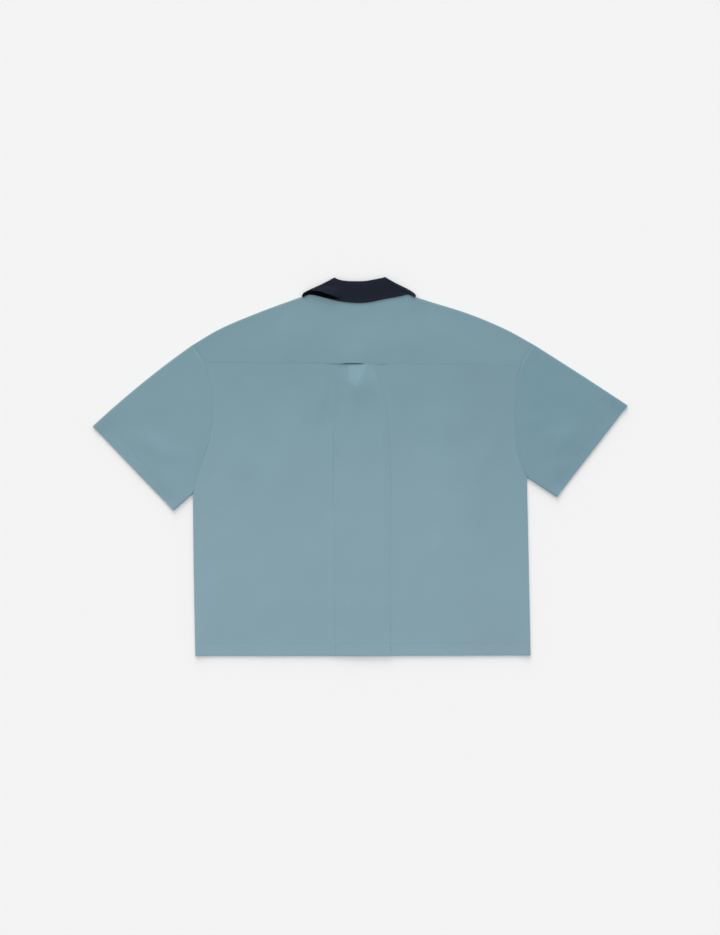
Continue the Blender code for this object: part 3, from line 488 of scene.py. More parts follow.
def pleat_path(y):
    """Across the box pleat, from left to right: x, height over the back, and 1 on the box."""
    left, right = pleat_folds(y)
    turns = np.radians(np.linspace(-90, 90, 7))
    inner, outer = 2 * PLEAT_TURN, PLEAT_FOLD_R
    tucked = [(-off, PLEAT_PRESSED * (1 - off / PLEAT_PRESSED_REACH) ** 2) for off in PLEAT_BESIDE]
    tucked += [(PLEAT_CREVICE, 0)] + [(share * PLEAT_DEPTH, 0) for share in PLEAT_IN]
    tucked += [(PLEAT_DEPTH + PLEAT_TURN * math.cos(t), PLEAT_TURN * (1 + math.sin(t))) for t in turns]
    tucked += [(share * PLEAT_DEPTH, inner) for share in PLEAT_OUT]
    tucked += [(outer * (1 - math.cos(t)), inner + outer * (1 + math.sin(t))) for t in turns]
    x = [left + across for across, _ in tucked] + [left + outer + step for step in PLEAT_OVER]
    x += [lerp(x[-1], right - outer - PLEAT_OVER[-1], share) for share in np.linspace(0, 1, 26)[1:]]
    x += [right - outer - step for step in PLEAT_OVER[-2::-1]]
    x += [right - across for across, _ in tucked[::-1]]
    x = np.stack(x, 1)
    sides = ease((x - left[:, None]) / PLEAT_SOFT_LEFT), ease((right[:, None] - x) / PLEAT_SOFT_RIGHT)
    lift = PLEAT_EDGE + (PLEAT_RISE - PLEAT_EDGE) * np.minimum(*sides)
    count = len(tucked)
    heights = np.array([height for _, height in tucked])
    lift[:, :count] = heights
    lift[:, -count:] = heights[::-1]
    on_box = np.zeros(x.shape[1])
    on_box[count - 4 : 4 - count] = 1
    return x, lift, on_box


def back_panel_grid():
    above = np.array(YOKE_UNDER_ROWS)
    (left, folded), (right, _) = (body_rows(side, side.yoke_y + above) for side in (LEFT, RIGHT))
    pleat_x, pleat_lift, on_box = pleat_path((left[:, 1] + right[:, 1]) / 2)
    inset, drop = edge_sections(folded)
    share = np.linspace(0, 1, 84)[None, 1:-1]
    flat_left = lerp(left[:, :1] + inset[:, -1:], pleat_x[:, :1], share)
    flat_right = lerp(pleat_x[:, -1:], right[:, :1] - inset[:, -1:], share)
    x = np.hstack([left[:, :1] + inset, flat_left, pleat_x, flat_right, right[:, :1] - inset[:, ::-1]])
    flat = np.zeros_like(flat_left)
    lift = np.hstack([-drop, flat, pleat_lift, flat, -drop[:, ::-1]])
    box = np.pad(on_box, inset.shape[1] + flat.shape[1])
    y = lerp(left[:, 1:], right[:, 1:], (x - left[:, :1]) / (right[:, :1] - left[:, :1]))

    right_fold = pleat_folds(y[:, -1:])[1]
    bedding = PLEAT_BEDDING * np.where(x > PLEAT_MID, fade(np.abs(x - right_fold), PLEAT_BEDDING_REACH), 0)
    z = back_height(x, y) + lift + bedding
    down, mouth = yoke_seam_y(x) - y, mouth_at(x)
    puff = PUFF * bell((x - PLEAT_MID) / PUFF_WIDE) * bell((down - PUFF_DOWN) / PUFF_LONG)
    z += box * (puff - (1 - PLEAT_AT_YOKE) * lift * fade(down, PLEAT_NARROWING))
    z -= MOUTH_DIP * mouth * fade(down, MOUTH_DIP_REACH)
    z += (MOUTH_RISE + MOUTH_DIP) * mouth * ease((-MOUTH_UNDER - down) / MOUTH_UNDER_REACH)
    z -= np.interp(-down, *zip(*YOKE_UNDER_DIP))

    hem = y - lerp(LEFT.hem_y, RIGHT.hem_y, (x - left[0, 0]) / (right[0, 0] - left[0, 0]))
    lowered = fade(hem, HEM.drop_reach)
    z -= box * (1 - PLEAT_AT_HEM) * np.maximum(lift - PLEAT_EDGE, 0) * lowered
    z += hem_marks(HEM, x, y, hem)
    z -= HEM.drop * lowered * ease(np.minimum(x - left[0, 0], right[0, 0] - x) / FOLD_CLEAR)
    return stack(x, y, z)


def shoulder_fold(x):
    """Middle of the fold along the shoulders, and its way out."""
    step = 2
    slope = (top_outline_y(x + step) - top_outline_y(x - step)) / (2 * step)
    outward = stack(-slope, 1)
    outward /= np.linalg.norm(outward, axis=-1, keepdims=True)
    return stack(x, top_outline_y(x)) - outward * FOLD_R, outward


def shoulder_tip_y(side):
    return side.armhole[-1][0] - FOLD_R


def shoulder_columns(side, count=70):
    """The fold of one shoulder, from the neck to the armhole."""
    neck_x = NECK_X + side.sign * (NECK_HALF + NECK_FOLD_OUT)
    x = np.linspace(neck_x, side.armhole[-1][1] - side.sign * TIP_FOLD_IN, count)
    middle, outward = shoulder_fold(x)
    middle[-1] = armhole_point(side, shoulder_tip_y(side))
    return middle, outward


def neckline_turn(out):
    return np.degrees(np.arccos(out / NECK_HALF))


def front_neckline(side, degrees, outward=NECK_CLEAR):
    turn = np.radians(degrees)
    return stack(
        NECK_X + side.sign * (NECK_HALF + outward) * np.cos(turn),
        NECK_POINT_Y - (NECK_FRONT_DROP + outward) * np.sin(turn),
    )


def yoke_neck_turn(down):
    fold = math.degrees(math.asin(FOLD_R / NECK_FRONT_DROP))
    return lerp(fold, neckline_turn(NECK_SEAM_OUT), down)


def yoke_grid():
    """The yoke, from its edge over the back up to the shoulders, over their folds and down in front."""
    (left, left_out), (right, right_out) = shoulder_columns(LEFT), shoulder_columns(RIGHT)
    left, left_out = left[::-1], left_out[::-1]
    x = np.linspace(left[-1, 0], right[0, 0], 45)[1:-1]
    tops = np.vstack([left, stack(x, lerp(NECK_BACK_Y, left[-1, 1], ((x - NECK_X) / NECK_HALF) ** 2)), right])
    no_cloth = np.full((len(x), 3), np.nan)
    first, last = tops[0], tops[-1]
    start, end = armhole_point(LEFT, LEFT.yoke_y), armhole_point(RIGHT, RIGHT.yoke_y)
    share = ((tops[:, 0] - first[0]) / (last[0] - first[0]))[:, None]
    base = lerp(start, end, share)
    length = np.linalg.norm(tops - base, axis=1)[:, None]
    ups = [off / length for off in YOKE_EDGE_ROWS]
    ups += [lerp(YOKE_EDGE_ROWS[-1] / length, 1, far) for far in np.linspace(0, 1, 24)[1:]]
    mouth = mouth_at(tops[:, 0])
    rows = []
    for up in ups:
        sides = (LEFT, start, first), (RIGHT, end, last)
        bends = [armhole_point(side, lerp(a[1], b[1], up[:, 0])) - lerp(a, b, up) for side, a, b in sides]
        place = lerp(base, tops, up) + lerp(*bends, share)
        off = (up * length)[:, 0]
        place[:, 1] += MOUTH_ARCH * mouth * fade(off, MOUTH_ARCH_REACH)
        x, y = place.T
        z = back_height(x, y) + yoke_pleat_lift(x, y) + MOUTH_RISE * mouth * fade(off, MOUTH_REACH)
        rounded = 1 - np.clip(off / SEAM_R, 0, 1)
        z -= SEAM_R * (1 - np.sqrt(1 - rounded**2))
        z -= YOKE_GROOVE * bell((off - YOKE_STITCHED) / YOKE_GROOVE_REACH)
        edge = np.minimum(x - through(LEFT.armhole, y), through(RIGHT.armhole, y) - x)
        rows.append(stack(x, y, z - EDGE_R * fade(edge, EDGE_REACH)))
    for degrees in np.linspace(75, -90, 12):
        angle = math.radians(degrees)
        turned = []
        for middle, outward in ((left, left_out), (right, right_out)):
            place = middle + outward * FOLD_R * math.cos(angle)
            turned.append(stack(*place.T, collar_lift(*middle.T) + FOLD_R * (1 + math.sin(angle))))
        rows.append(np.vstack([turned[0], no_cloth, turned[1]]))
    for down in np.linspace(0.05, 1, 16):
        rows.append(np.vstack([yoke_front(LEFT, left, down), no_cloth, yoke_front(RIGHT, right, down)]))
    return np.array(rows)


def yoke_front(side, folds, down):
    """A row of the yoke in front, a share of the way down from the shoulder's fold to its seam."""
    order = -side.sign
    tip_y, seam_y = folds[::order][0, 1], lerp(side.yoke_y, shoulder_tip_y(side), FRONT_SEAM_SHARE)

    def ends(share):
        arm = armhole_point(side, lerp(tip_y, seam_y, share))
        return [arm, front_neckline(side, yoke_neck_turn(share))][::order]

    across = ((folds[:, 0] - folds[0, 0]) / (folds[-1, 0] - folds[0, 0]))[:, None]
    bends = [row - lerp(fold, seam, down) for row, fold, seam in zip(ends(down), folds[[0, -1]], ends(1))]
    x, y = (lerp(folds, lerp(*ends(1), across), down) + lerp(*bends, across)).T
    return stack(x, y, collar_lift(x, y))


def front_grid(side):
    """One front, from the side fold to its edge past the centre line."""
    above = lerp(side.yoke_y, shoulder_tip_y(side), np.linspace(0, FRONT_SEAM_SHARE, 3)[1:])
    outer, folded = body_rows(side, above)
    corner = outer[-1]
    outs = np.concatenate([
        np.linspace(abs(corner[0] - NECK_X), NECK_SEAM_OUT, 70),
        np.linspace(NECK_SEAM_OUT, OVERLAP_HALF, 30)[1:],
        np.linspace(OVERLAP_HALF, OVERLAP_TURN - OVERLAP_HALF, 22)[1:],
    ])
    reach = ((outs - NECK_SEAM_OUT) / (outs[0] - NECK_SEAM_OUT))[:, None]
    neckline = front_neckline(side, neckline_turn(np.minimum(outs, NECK_SEAM_OUT)))
    tops = np.where(reach > 0, lerp(neckline[0], corner, reach), neckline)
    low = side.hem_y + np.array(HEM.rows)
    centre_y = np.concatenate([low, np.linspace(low[-1], tops[-1, 1], len(outer) - len(low) + 1)[1:]])
    centre = stack(NECK_X + side.sign * outs[-1], centre_y)
    inset, rise = edge_sections(folded)
    turned = inset.shape[1]
    rest = ((outs[0] - outs) / (outs[0] - outs[-1]))[1:]
    flat = np.zeros((len(outer), len(rest)))
    shares = np.hstack([inset / np.abs(centre[:, :1] - outer[:, :1]), flat + rest])
    up = np.clip((centre_y - low[-1]) / (centre_y[-1] - low[-1]), 0, 1)[:, None, None]
    top = np.vstack([[corner] * turned, tops[1:]])
    flat_top = lerp(corner, tops[-1], np.pad(rest, (turned, 0))[:, None])
    place = lerp(outer[:, None], centre[:, None], shares[..., None]) + up * (top - flat_top)
    x, y = place[..., 0], place[..., 1]
    z = collar_lift(x, y) + ridge_lift(x, y) + np.hstack([rise, flat])
    z += lower_lift(x, y) * clear(x, y, side.hem_y)
    if side is LEFT:
        return stack(x, y, z)[:, ::-1]
    return stack(x, y, z + OVERLAP_RISE * fade(x - NECK_X - OVERLAP_HALF - OVERLAP_MARGIN, OVERLAP_SLOPE))


# Sleeves


def sleeve_grid(side, lengths=44, widths=70):
    """A flattened tube from the cuff, its first row, to the armhole, its last."""
    shoulder_y, armpit_y = side.armhole[-1][0], side.armhole[0][0]
    top_start, low_start = armhole_point(side, shoulder_y), armhole_point(side, armpit_y)
    cuff_top, cuff_low = np.array(side.cuff_top), np.array(side.cuff_low)
    run = cuff_top - top_start
    reach = np.linalg.norm(run)
    bow_way = np.array([side.sign * abs(run[1]), abs(run[0])]) / reach

    def patch(u, v):
        """Places at shares out from the armhole and down from the shoulder."""
        u, v = u[..., None], v[..., None]
        top = lerp(top_start, cuff_top, u) + bow_way * side.bow * 4 * u * (1 - u)
        low = lerp(low_start, cuff_low, u)
        arm = armhole_point(side, lerp(shoulder_y, armpit_y, v[..., 0]))
        cuff = lerp(cuff_top, cuff_low, v)
        corners = lerp(lerp(top_start, cuff_top, u), low, v)
        return lerp(top, low, v) + lerp(arm, cuff, u) - corners

    from_cuff = np.concatenate([CUFF.rows, np.linspace(CUFF.rows[-1], reach, lengths)[1:-1]])
    u = np.concatenate([1 - from_cuff / reach, [0.004, 0, 0, 0]])[:, None]
    tuck, drop = (np.pad(last, (len(u) - len(last), 0))[:, None] for last in (SLEEVE_TUCK, SLEEVE_TUCK_DROP))
    turn = np.linspace(0, math.pi / 2, 7)
    ends = np.linalg.norm(patch(u, np.zeros_like(u)) - patch(u, np.ones_like(u)), axis=-1)
    fold, rise = FOLD_R * (1 - np.cos(turn)) / ends, FOLD_R * (1 + np.sin(turn))
    spread = np.broadcast_to(np.linspace(0.02, 0.98, widths), (len(u), widths))
    across = np.hstack([fold, spread, 1 - fold[:, ::-1]])
    height = np.concatenate([rise, np.full(widths, FOLD_HEIGHT), rise[::-1]])

    def layer(v, h, upper):
        x, y = np.moveaxis(patch(u, v), -1, 0)
        hold = ease((y - armpit_y - TUCK_LOW) / TUCK_LOW_REACH) * ease((shoulder_y - y) / TUCK_TOP_REACH)
        x = x - side.sign * tuck * hold
        bulge, soft = np.sin(math.pi * v), ease((1 - u) / SLEEVE_FOLD_END)
        if not upper:
            return stack(x, y, h + lower_lift(x, y) * bulge**0.5 * soft + drop * hold)
        crown = SLEEVE_CROWN * (1 - u / 2) + SOFT_SHARE * soft_folds(x, y) * soft
        crown = (crown + ripples(x, y, *SLEEVE_WAVES)) * bulge * ease(u / SLEEVE_CROWN_REACH)
        away = (1 - u) * reach
        lowered = CUFF.drop * fade(away, CUFF.drop_reach) * ease(np.minimum(v, 1 - v) / CUFF_DROP_SIDES)
        marks = hem_marks(CUFF, x, y, away) * bulge**0.3
        return stack(x, y, h + crown + marks - lowered - drop * hold)

    lower = layer(across[:, -2:0:-1], FOLD_HEIGHT - height[-2:0:-1], False)
    grid = np.concatenate([layer(across, height, True), lower], axis=1)
    return grid if side is LEFT else grid[:, ::-1]


# Collar


def collar_sections(side, front=46, turn_steps=15):
    """Edge, roll and seam places with their ways out, from one end of the collar to behind the neck."""
    roll_x, roll_y = ROLL_ENDS[side.sign]
    slope = np.array([LEAF_TURN[0] - roll_x, LEAF_TURN[1] - roll_y])
    outward = np.array([-slope[1] * side.sign, slope[0]]) / np.linalg.norm(slope)

    def out_from_centre(x, y):
        return np.array([NECK_X + side.sign * x, y])

    point = out_from_centre(*LEAF_POINT)
    turn_edge = out_from_centre(*LEAF_TURN) - outward * (COLLAR_LIFT + FOLD_R)
    turn_roll = out_from_centre(roll_x, roll_y) - outward * ROLL_HEIGHT / 2
    neck, neck_out = shoulder_fold(np.array(NECK_X + side.sign * (NECK_HALF + NECK_FOLD_OUT)))
    neck = neck - np.array([side.sign * NECK_GAP, 0])
    turns = np.linspace(neckline_turn(COLLAR_OPENING), yoke_neck_turn(0), front)
    sections = []
    for turn in turns:
        share = 1 - turn / turns[0]
        angle = math.radians(90 * (1 - share))
        roll_out = lerp(COLLAR_OPENING, abs(turn_roll[0] - NECK_X), math.cos(angle))
        roll = out_from_centre(roll_out, lerp(turn_roll[1], ROLL_FRONT_Y, math.sin(angle)))
        edge = lerp(point, turn_edge, share)
        sections.append((edge, roll, front_neckline(side, turn, 0), outward, neck_out, -90))
    for degrees in np.linspace(-90, 90, turn_steps):
        rise = roll_rise(turn_edge, turn_roll) * ease(degrees / 90)
        sections.append((turn_edge, turn_roll + np.array([0, rise]), neck, outward, neck_out, degrees))
    return sections


def roll_rise(edge, roll):
    """How far a section's roll moves up, so that its outside comes to the roll's edge."""
    bulge = (ROLL_HEIGHT - COLLAR_LIFT - 2 * FOLD_R + COLLAR_PLY) / 2
    return through(ROLL_EDGE, roll[0]) - roll[1] - bulge * (roll[1] - edge[1]) / np.linalg.norm(roll - edge)


def collar_column(edge, roll, seam, edge_out, seam_out, degrees):
    """Points of a section: in from the leaf's edge, round the roll and down the stand to the neck seam."""
    angle = math.radians(degrees)
    behind = (math.sin(angle) + 1) / 2
    middle_z = COLLAR_LIFT + FOLD_R
    tight = FOLD_R - COLLAR_PLY
    length = np.linalg.norm(roll - edge)
    way = (roll - edge) / length

    def points(place, radius, outward=edge_out, bow=0, raised=0):
        flat = place + outward * math.cos(angle) * (radius + bow)[:, None]
        return np.column_stack([flat, middle_z + math.sin(angle) * (radius + raised)])

    leaf_edge = lerp(middle_z, FOLD_R + LEAF_SEAT, behind)
    leaf_roll = lerp(middle_z, ROLL_HEIGHT - middle_z, behind)
    stand_roll = lerp(STAND_RISE, tight, behind)
    stepped = float(fade(edge[0] - HOLLOW_END, HOLLOW_END_REACH) * ease(degrees / HOLLOW_TURN))
    tops = [(y + slope * (edge[0] - x) - edge[1]) / (way[1] - slope * way[0]) for x, y, slope in HOLLOW_TOPS]
    rim = lerp(LEAF_RIM, max(min(tops), LEAF_RIM), stepped)
    offs = [0, 0.15, 0.5, rim / 2 + 0.3] + [rim + off for off in LEAF_RIM_ROWS]
    offs += [rim + LEAF_STITCH_IN + off for off in LEAF_STITCH_ROWS]
    share = np.concatenate([np.array(offs) / length, np.linspace((offs[-1] + 2) / length, 1, 14)])
    off = share * length
    raised = ease((off - rim - LEAF_RIM_ROWS[0]) / HOLLOW_LIP) * fade(off - rim, HOLLOW_FADE)
    rounded = LEAF_ROUND * fade(off, LEAF_ROUND_REACH)
    rounded += LEAF_GROOVE * bell((off - rim - LEAF_STITCH_IN) / LEAF_GROOVE_REACH)
    radius = lerp(leaf_edge, leaf_roll, ease(share)) - rounded
    place = lerp(edge, roll, share[:, None])
    leaf = points(place, radius, bow=through(TIP_BOW, off), raised=HOLLOW_RISE * stepped * raised)
    bulge, mid = (leaf_roll - stand_roll) / 2, (leaf_roll + stand_roll) / 2
    swing = np.radians(np.linspace(15, 165, 11))
    turned = points(roll + way * bulge * np.sin(swing)[:, None], mid + bulge * np.cos(swing))
    share = np.linspace(0, 1, 8)
    outward = lerp(edge_out, seam_out, share[:, None])
    outward = outward / np.linalg.norm(outward, axis=1, keepdims=True)
    stand = points(lerp(roll, seam, share[:, None]), lerp(stand_roll, tight, share), outward)
    return np.vstack([leaf, turned, stand])


def collar_grid(steps=90):
    left, right = collar_sections(LEFT), collar_sections(RIGHT)
    back = []
    up = np.array([0, 1])
    for i in range(1, steps):
        share = i / steps
        edge, roll, seam = (lerp(a, b, share) for a, b in zip(left[-1][:3], right[-1][:3]))
        edge[1] = lerp(edge[1], through(LEAF_EDGE, edge[0]), ease(min(share, 1 - share) / LEAF_EDGE_END))
        roll[1] += roll_rise(edge, roll)
        seam[1] = lerp(left[-1][2][1], NECK_BACK_Y + NECK_CLEAR, 4 * share * (1 - share))
        back.append((edge, roll, seam, up, up, 90))
    columns = [collar_column(*section) for section in left + back + right[::-1]]
    return np.array(columns[::-1])


# Finishes


class Value:
    """A node's output that can be calculated with."""

    def __init__(self, socket):
        self.socket = socket

    def maths(self, operation, *others):
        return add_node(self.socket.id_data, "Math", 0, dict(enumerate((self, *others))), operation=operation)

    __add__ = partialmethod(maths, "ADD")
    __sub__ = partialmethod(maths, "SUBTRACT")
    __mul__ = partialmethod(maths, "MULTIPLY")
    __truediv__ = partialmethod(maths, "DIVIDE")


def set_inputs(node, inputs):
    for key, value in inputs.items():
        if isinstance(value, Value):
            node.id_data.links.new(value.socket, node.inputs[key])
        else:
            node.inputs[key].default_value = value


def add_node(tree, kind, output, inputs, **settings):
    node = tree.nodes.new("ShaderNode" + kind)
    for key, value in settings.items():
        setattr(node, key, value)
    set_inputs(node, inputs)
    return Value(node.outputs[output])


def axes_of(tree, coords):
    first = add_node(tree, "SeparateXYZ", 0, {"Vector": coords})
    return [Value(output) for output in first.socket.node.outputs]


def add_noise(tree, coords, scale, detail):
    return add_node(tree, "TexNoise", "Fac", {"Vector": coords, "Scale": scale, "Detail": detail})


def new_material(name):
    made = bpy.data.materials.new(name)
    made.use_nodes = True
    return made, made.node_tree


def finish(tree, colour, shade, height, strength, depth, looks):
    """A colour times a shade, relief from a height, and the shader's other inputs."""
    tint = add_node(tree, "VectorMath", "Vector", {0: colour, "Scale": shade}, operation="SCALE")
    bump = add_node(tree, "Bump", "Normal", {"Strength": strength, "Distance": depth * MM, "Height": height})
    set_inputs(tree.nodes["Principled BSDF"], {"Base Color": tint, "Normal": bump, **looks})


def cloth_material(name, colours=(LOW_BLUE, HIGH_BLUE), tint=(1, 1, 1), tone=1, grain=0, mottle=0.05,
                   painted_light_and_shade=None, roughness=0.82, sheen=0.15, specular=0.3):
    """A fine plain weave, a little uneven in tone, its colour changing from the hem up.

    grain turns its threads, in degrees, and painted_light_and_shade adds painted light and shade in places."""
    made, tree = new_material(name)
    coords = add_node(tree, "TexCoord", "Object", {})
    turned = add_node(tree, "Mapping", "Vector", {"Vector": coords, "Rotation": (0, 0, math.radians(grain))})
    place = [axis / MM for axis in axes_of(tree, coords)]
    turns = math.tau / (WEAVE_PITCH * MM)
    warp, weft = ((axis * turns).maths("SINE") for axis in axes_of(tree, turned)[:2])
    weave = warp * weft
    slub, clouds = (add_noise(tree, turned, scale, 3) for scale in (SLUB_SCALE, CLOUD_SCALE))
    shade = (clouds - 0.5) * mottle + tone
    if painted_light_and_shade:
        shade = shade + painted_light_and_shade(*place)
    shade = shade + weave * WEAVE_SHADE + (slub - 0.5) * SLUB_SHADE
    rise = {"Value": place[1], "From Min": LOW_Y, "From Max": HIGH_Y}
    up = add_node(tree, "MapRange", "Result", rise, interpolation_type="SMOOTHSTEP")
    low, high = (tuple(c * k for c, k in zip(colour, tint)) for colour in colours)
    colour = add_node(tree, "Mix", "Result", {"Factor": up, "A": low, "B": high}, data_type="VECTOR")
    looks = {"Roughness": roughness, "Specular IOR Level": specular, "Sheen Weight": sheen}
    looks["Sheen Roughness"] = 0.5
    finish(tree, colour, shade, weave * 0.5 + slub, 0.25, 0.12, looks)
    return made


def past(away, softness):
    """From 0 before an edge to 1 past it."""
    return (away / softness).maths("MAXIMUM", 0).maths("MINIMUM", 1)


def painted_light_on_back(x, y, _):
    """Painted light and shade: a painted highlight on the pleat's box below the yoke, painted shade on the
    back under the yoke's edge, and painted shade making it a little darker to the right."""
    # painted highlight on the box below the yoke
    below = (y * -1 + PATCH_LEFT_TOP).maths("MAXIMUM", 0)
    left = past(x - PATCH_LEFT - below * PATCH_LEFT_SLOPE, PATCH_LEFT_SOFT)
    right = past((y - PATCH_RIGHT_FOOT) * PATCH_RIGHT_SLOPE - x, PATCH_RIGHT_SOFT)
    patch = left * right * past(y * -1 + PATCH_TOP, PATCH_TOP_SOFT)
    # painted shade under the yoke's edge, which droops over the box
    away = (x - MOUTH_X) / (MOUTH_WIDE + MOUTH_SLOPE)
    droop = (away * away * -1 + 1).maths("MAXIMUM", 0)
    covered = past(y - x * COVER_SLOPE + droop * COVER_DROOP - COVER_Y, COVER_SOFT)
    # painted shade, darker towards the right side
    to_right = past(x - RIGHT_SHADE_X, RIGHT_SHADE_REACH)
    return patch * PATCH_SHADE - covered * COVER_SHADE - to_right * RIGHT_SHADE


def painted_shade_under_leaf(x, y, z):
    """Painted shade: hardly any light gets in under the raised leaf, so its hollow is painted near black."""

    def above(at_x, at_y, slope):
        return past(y - at_y - (x - at_x) * slope, HOLLOW_SOFT)

    shade = above(*HOLLOW_FLOOR) * z.maths("GREATER_THAN", HOLLOW_LEVEL) * -HOLLOW_SHADE
    for top in HOLLOW_TOPS:
        shade = shade * (above(*top) * -1 + 1)
    return shade


def plain_material(name, colour, roughness, grain_scale=1500, strength=0.1):
    made, tree = new_material(name)
    grain = add_noise(tree, add_node(tree, "TexCoord", "Object", {}), grain_scale, 2)
    finish(tree, colour, grain * 0.1 + 0.95, grain, strength, 0.05, {"Roughness": roughness})
    return made


# Buttons


def button(number, plastic, thread, sides=48):
    """A four-hole button with a raised rim, and the thread through it."""
    y = BUTTON_TOP_Y - BUTTON_PITCH * (number - 1)
    turn = np.arange(sides) * math.tau / sides
    (_, first), *rings, (_, last) = BUTTON_PROFILE
    round_points = [stack(radius * np.cos(turn), radius * np.sin(turn), z) for radius, z in rings]
    points = np.vstack([(0, 0, first), *round_points, (0, 0, last)]) + (NECK_X, y, 0)
    faces = spindle_faces(len(rings), sides)
    piece = new_piece(f"button_disc_{number}", points, faces, plastic)
    holes = bmesh.new()
    radius = BUTTON_HOLE_R * MM
    for across, up in CORNERS:
        made = bmesh.ops.create_cone(
            holes, cap_ends=True, segments=16, radius1=radius, radius2=radius, depth=6 * MM
        )
        centre = (NECK_X + across * BUTTON_HOLE_OUT, y + up * BUTTON_HOLE_OUT, BUTTON_THICK / 2)
        bmesh.ops.translate(holes, verts=made["verts"], vec=[c * MM for c in centre])
    mesh = bpy.data.meshes.new("holes")
    holes.to_mesh(mesh)
    cutter = new_object("holes", mesh)
    cut = piece.modifiers.new("holes", "BOOLEAN")
    cut.object, cut.solver = cutter, "EXACT"
    bpy.context.view_layer.update()
    done = bpy.data.meshes.new_from_object(piece.evaluated_get(bpy.context.evaluated_depsgraph_get()))
    piece.modifiers.clear()
    piece.data = done
    done.set_sharp_from_angle(angle=math.radians(40))
    bpy.data.objects.remove(cutter)
    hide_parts(f"button_{number}")

    verts, faces = [], []
    down = np.array([0, 0, -1])
    for out in (-BUTTON_HOLE_OUT, BUTTON_HOLE_OUT):
        for apart in (-SEWN_APART, SEWN_APART):
            x = NECK_X + out + apart
            ends = [np.array([x, y + end, SEWN_Z]) for end in (-BUTTON_HOLE_OUT, BUTTON_HOLE_OUT)]
            add_strand(verts, faces, *ends, down, SEWN_R, SEWN_DEPTH)
    new_piece(f"button_thread_{number}", verts, faces, thread)


def buttonhole(number, thread, steps=96, sides=6):
    """The oval of close stitches round a buttonhole, on the left front's outer face."""
    middle_y = BUTTON_TOP_Y - BUTTON_PITCH * (number - 1)
    turn, swing = (np.arange(count) * math.tau / count for count in (steps, sides))
    turn = turn[:, None]
    wide = HOLE_THREAD * (1 + HOLE_BEAD * np.cos(turn * steps / 2)) * np.cos(swing)
    across, along = (np.sign(wave) * np.sqrt(np.abs(wave)) for wave in (np.cos(turn), np.sin(turn)))
    x = NECK_X + (HOLE_HALF_WIDE + wide) * across
    y = middle_y + (HOLE_HALF_LONG + wide) * along
    z = collar_lift(x, y) + ridge_lift(x, y) - HOLE_SUNK + HOLE_THREAD / 2 * np.sin(swing)
    faces = grid_faces((steps, sides), ring=True, loop=True)
    new_piece(f"buttonhole_{number}", stack(x, y, z).reshape(-1, 3), faces.tolist(), thread)


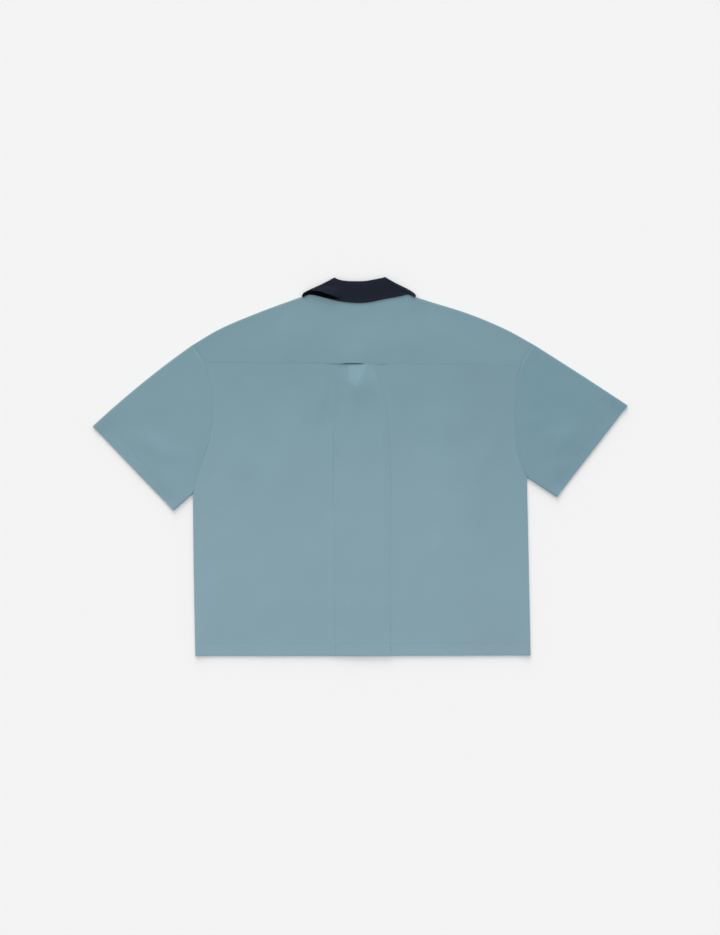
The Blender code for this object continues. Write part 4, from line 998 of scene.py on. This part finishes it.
def main():
    back_cloth = cloth_material("back_cloth", painted_light_and_shade=painted_light_on_back)
    front_cloth = cloth_material("front_cloth")
    yoke_cloth = cloth_material("yoke_cloth", tone=0.978, grain=90)
    # The sleeves' tints are painted shade: both are painted a little darker, the right one most, as if the
    # light came from the left
    sleeve_cloths = (
        cloth_material("sleeve_left_cloth", tint=(0.965, 0.985, 0.985), grain=40),
        cloth_material("sleeve_right_cloth", tint=(0.855, 0.905, 0.935), grain=-50),
    )
    collar_cloth = cloth_material(
        "collar_cloth", (NAVY, NAVY), mottle=0.12, painted_light_and_shade=painted_shade_under_leaf, roughness=0.9, sheen=0.01, specular=0
    )
    thread = plain_material("thread", (0.215, 0.335, 0.39), 0.75)
    dark_thread = plain_material("dark_thread", (0.013, 0.018, 0.03), 0.9)
    plastic = plain_material("plastic", (0.02, 0.028, 0.045), 0.32, 300, 0.03)

    back, yoke, collar = back_panel_grid(), yoke_grid(), collar_grid()
    left, right = front_grid(LEFT), front_grid(RIGHT)
    tubes = {"left": sleeve_grid(LEFT), "right": sleeve_grid(RIGHT)}
    back_piece = shell("cloth_back", "back_panel", turn_under(back, HEM), back_cloth)
    yoke_piece = shell("cloth_yoke", "back_yoke", yoke, yoke_cloth)
    front_left = shell("cloth_front_left", "front_left", turn_under(left, HEM), front_cloth)
    front_right = shell("cloth_front_right", "front_right", turn_under(right, HEM), front_cloth)
    sleeves = [
        shell(f"cloth_sleeve_{name}", f"sleeve_{name}", turn_under(tube, CUFF, ring=True), cloth, ring=True)
        for (name, tube), cloth in zip(tubes.items(), sleeve_cloths)
    ]
    collar_piece = shell("cloth_collar", "collar", collar, collar_cloth, ply=COLLAR_PLY)
    for number in range(1, BUTTONS + 1):
        button(number, plastic, dark_thread)
        buttonhole(number, thread)

    hem_row = HEM.rows.index(HEM.stitched)
    edge_column = np.argmin(np.abs(left[0, :, 0] - NECK_X - OVERLAP_HALF + EDGE_STITCH))
    sewn = [line(grid, hem_row) for grid in (back, left, right)] + [line(left, np.s_[:-4, edge_column])]
    hem_stitches = stitches("stitches_hem", sewn, thread)
    cuff_row = CUFF.rows.index(CUFF.stitched)
    cuff_stitches = [
        stitches(f"stitches_cuff_{name}", [line(tube, cuff_row, ring=True)], thread)
        for name, tube in tubes.items()
    ]
    yoke_stitches = stitches("stitches_yoke", [line(yoke, YOKE_EDGE_ROWS.index(YOKE_STITCHED))], thread)
    leaf_line = line(collar, np.s_[:, LEAF_STITCH_ROW])
    collar_stitches = stitches("stitches_collar", [leaf_line], dark_thread)

    stage()


def stage():
    mesh = bpy.data.meshes.new("floor")
    half, under = FLOOR_HALF * MM, FLOOR_UNDER * MM
    mesh.from_pydata([(x * half, y * half, -under) for x, y in CORNERS], [], [range(4)])
    white, tree = new_material("floor_finish")
    looks = {"Base Color": (*[FLOOR_WHITE] * 3, 1), "Roughness": 0.9, "Specular IOR Level": 0}
    set_inputs(tree.nodes["Principled BSDF"], looks)
    mesh.materials.append(white)
    new_object("floor", mesh)

    sun = bpy.data.lights.new("sun", "SUN")
    sun.energy = SUN
    sun.angle = math.radians(SUN_WIDE)
    new_object("sun", sun).rotation_euler = (math.radians(SUN_TILT), 0, math.radians(SUN_TURN))
    world = bpy.data.worlds.new("world")
    world.use_nodes = True
    tree = world.node_tree
    towards = axes_of(tree, add_node(tree, "TexCoord", "Generated", {}))[1]
    sky = {"Strength": towards * SKY_TOWARDS_COLLAR + SKY, "Color": (1, 1, 1, 1)}
    set_inputs(tree.nodes["Background"], sky)
    bpy.context.scene.world = world

    camera = bpy.data.cameras.new("camera")
    camera.lens = LENS
    camera.sensor_width = SENSOR
    held = new_object("camera", camera)
    held.location = (0, 0, LENS * VIEW * MM / SENSOR)
    bpy.context.scene.camera = held
    bpy.context.scene.view_settings.view_transform = "Standard"


main()
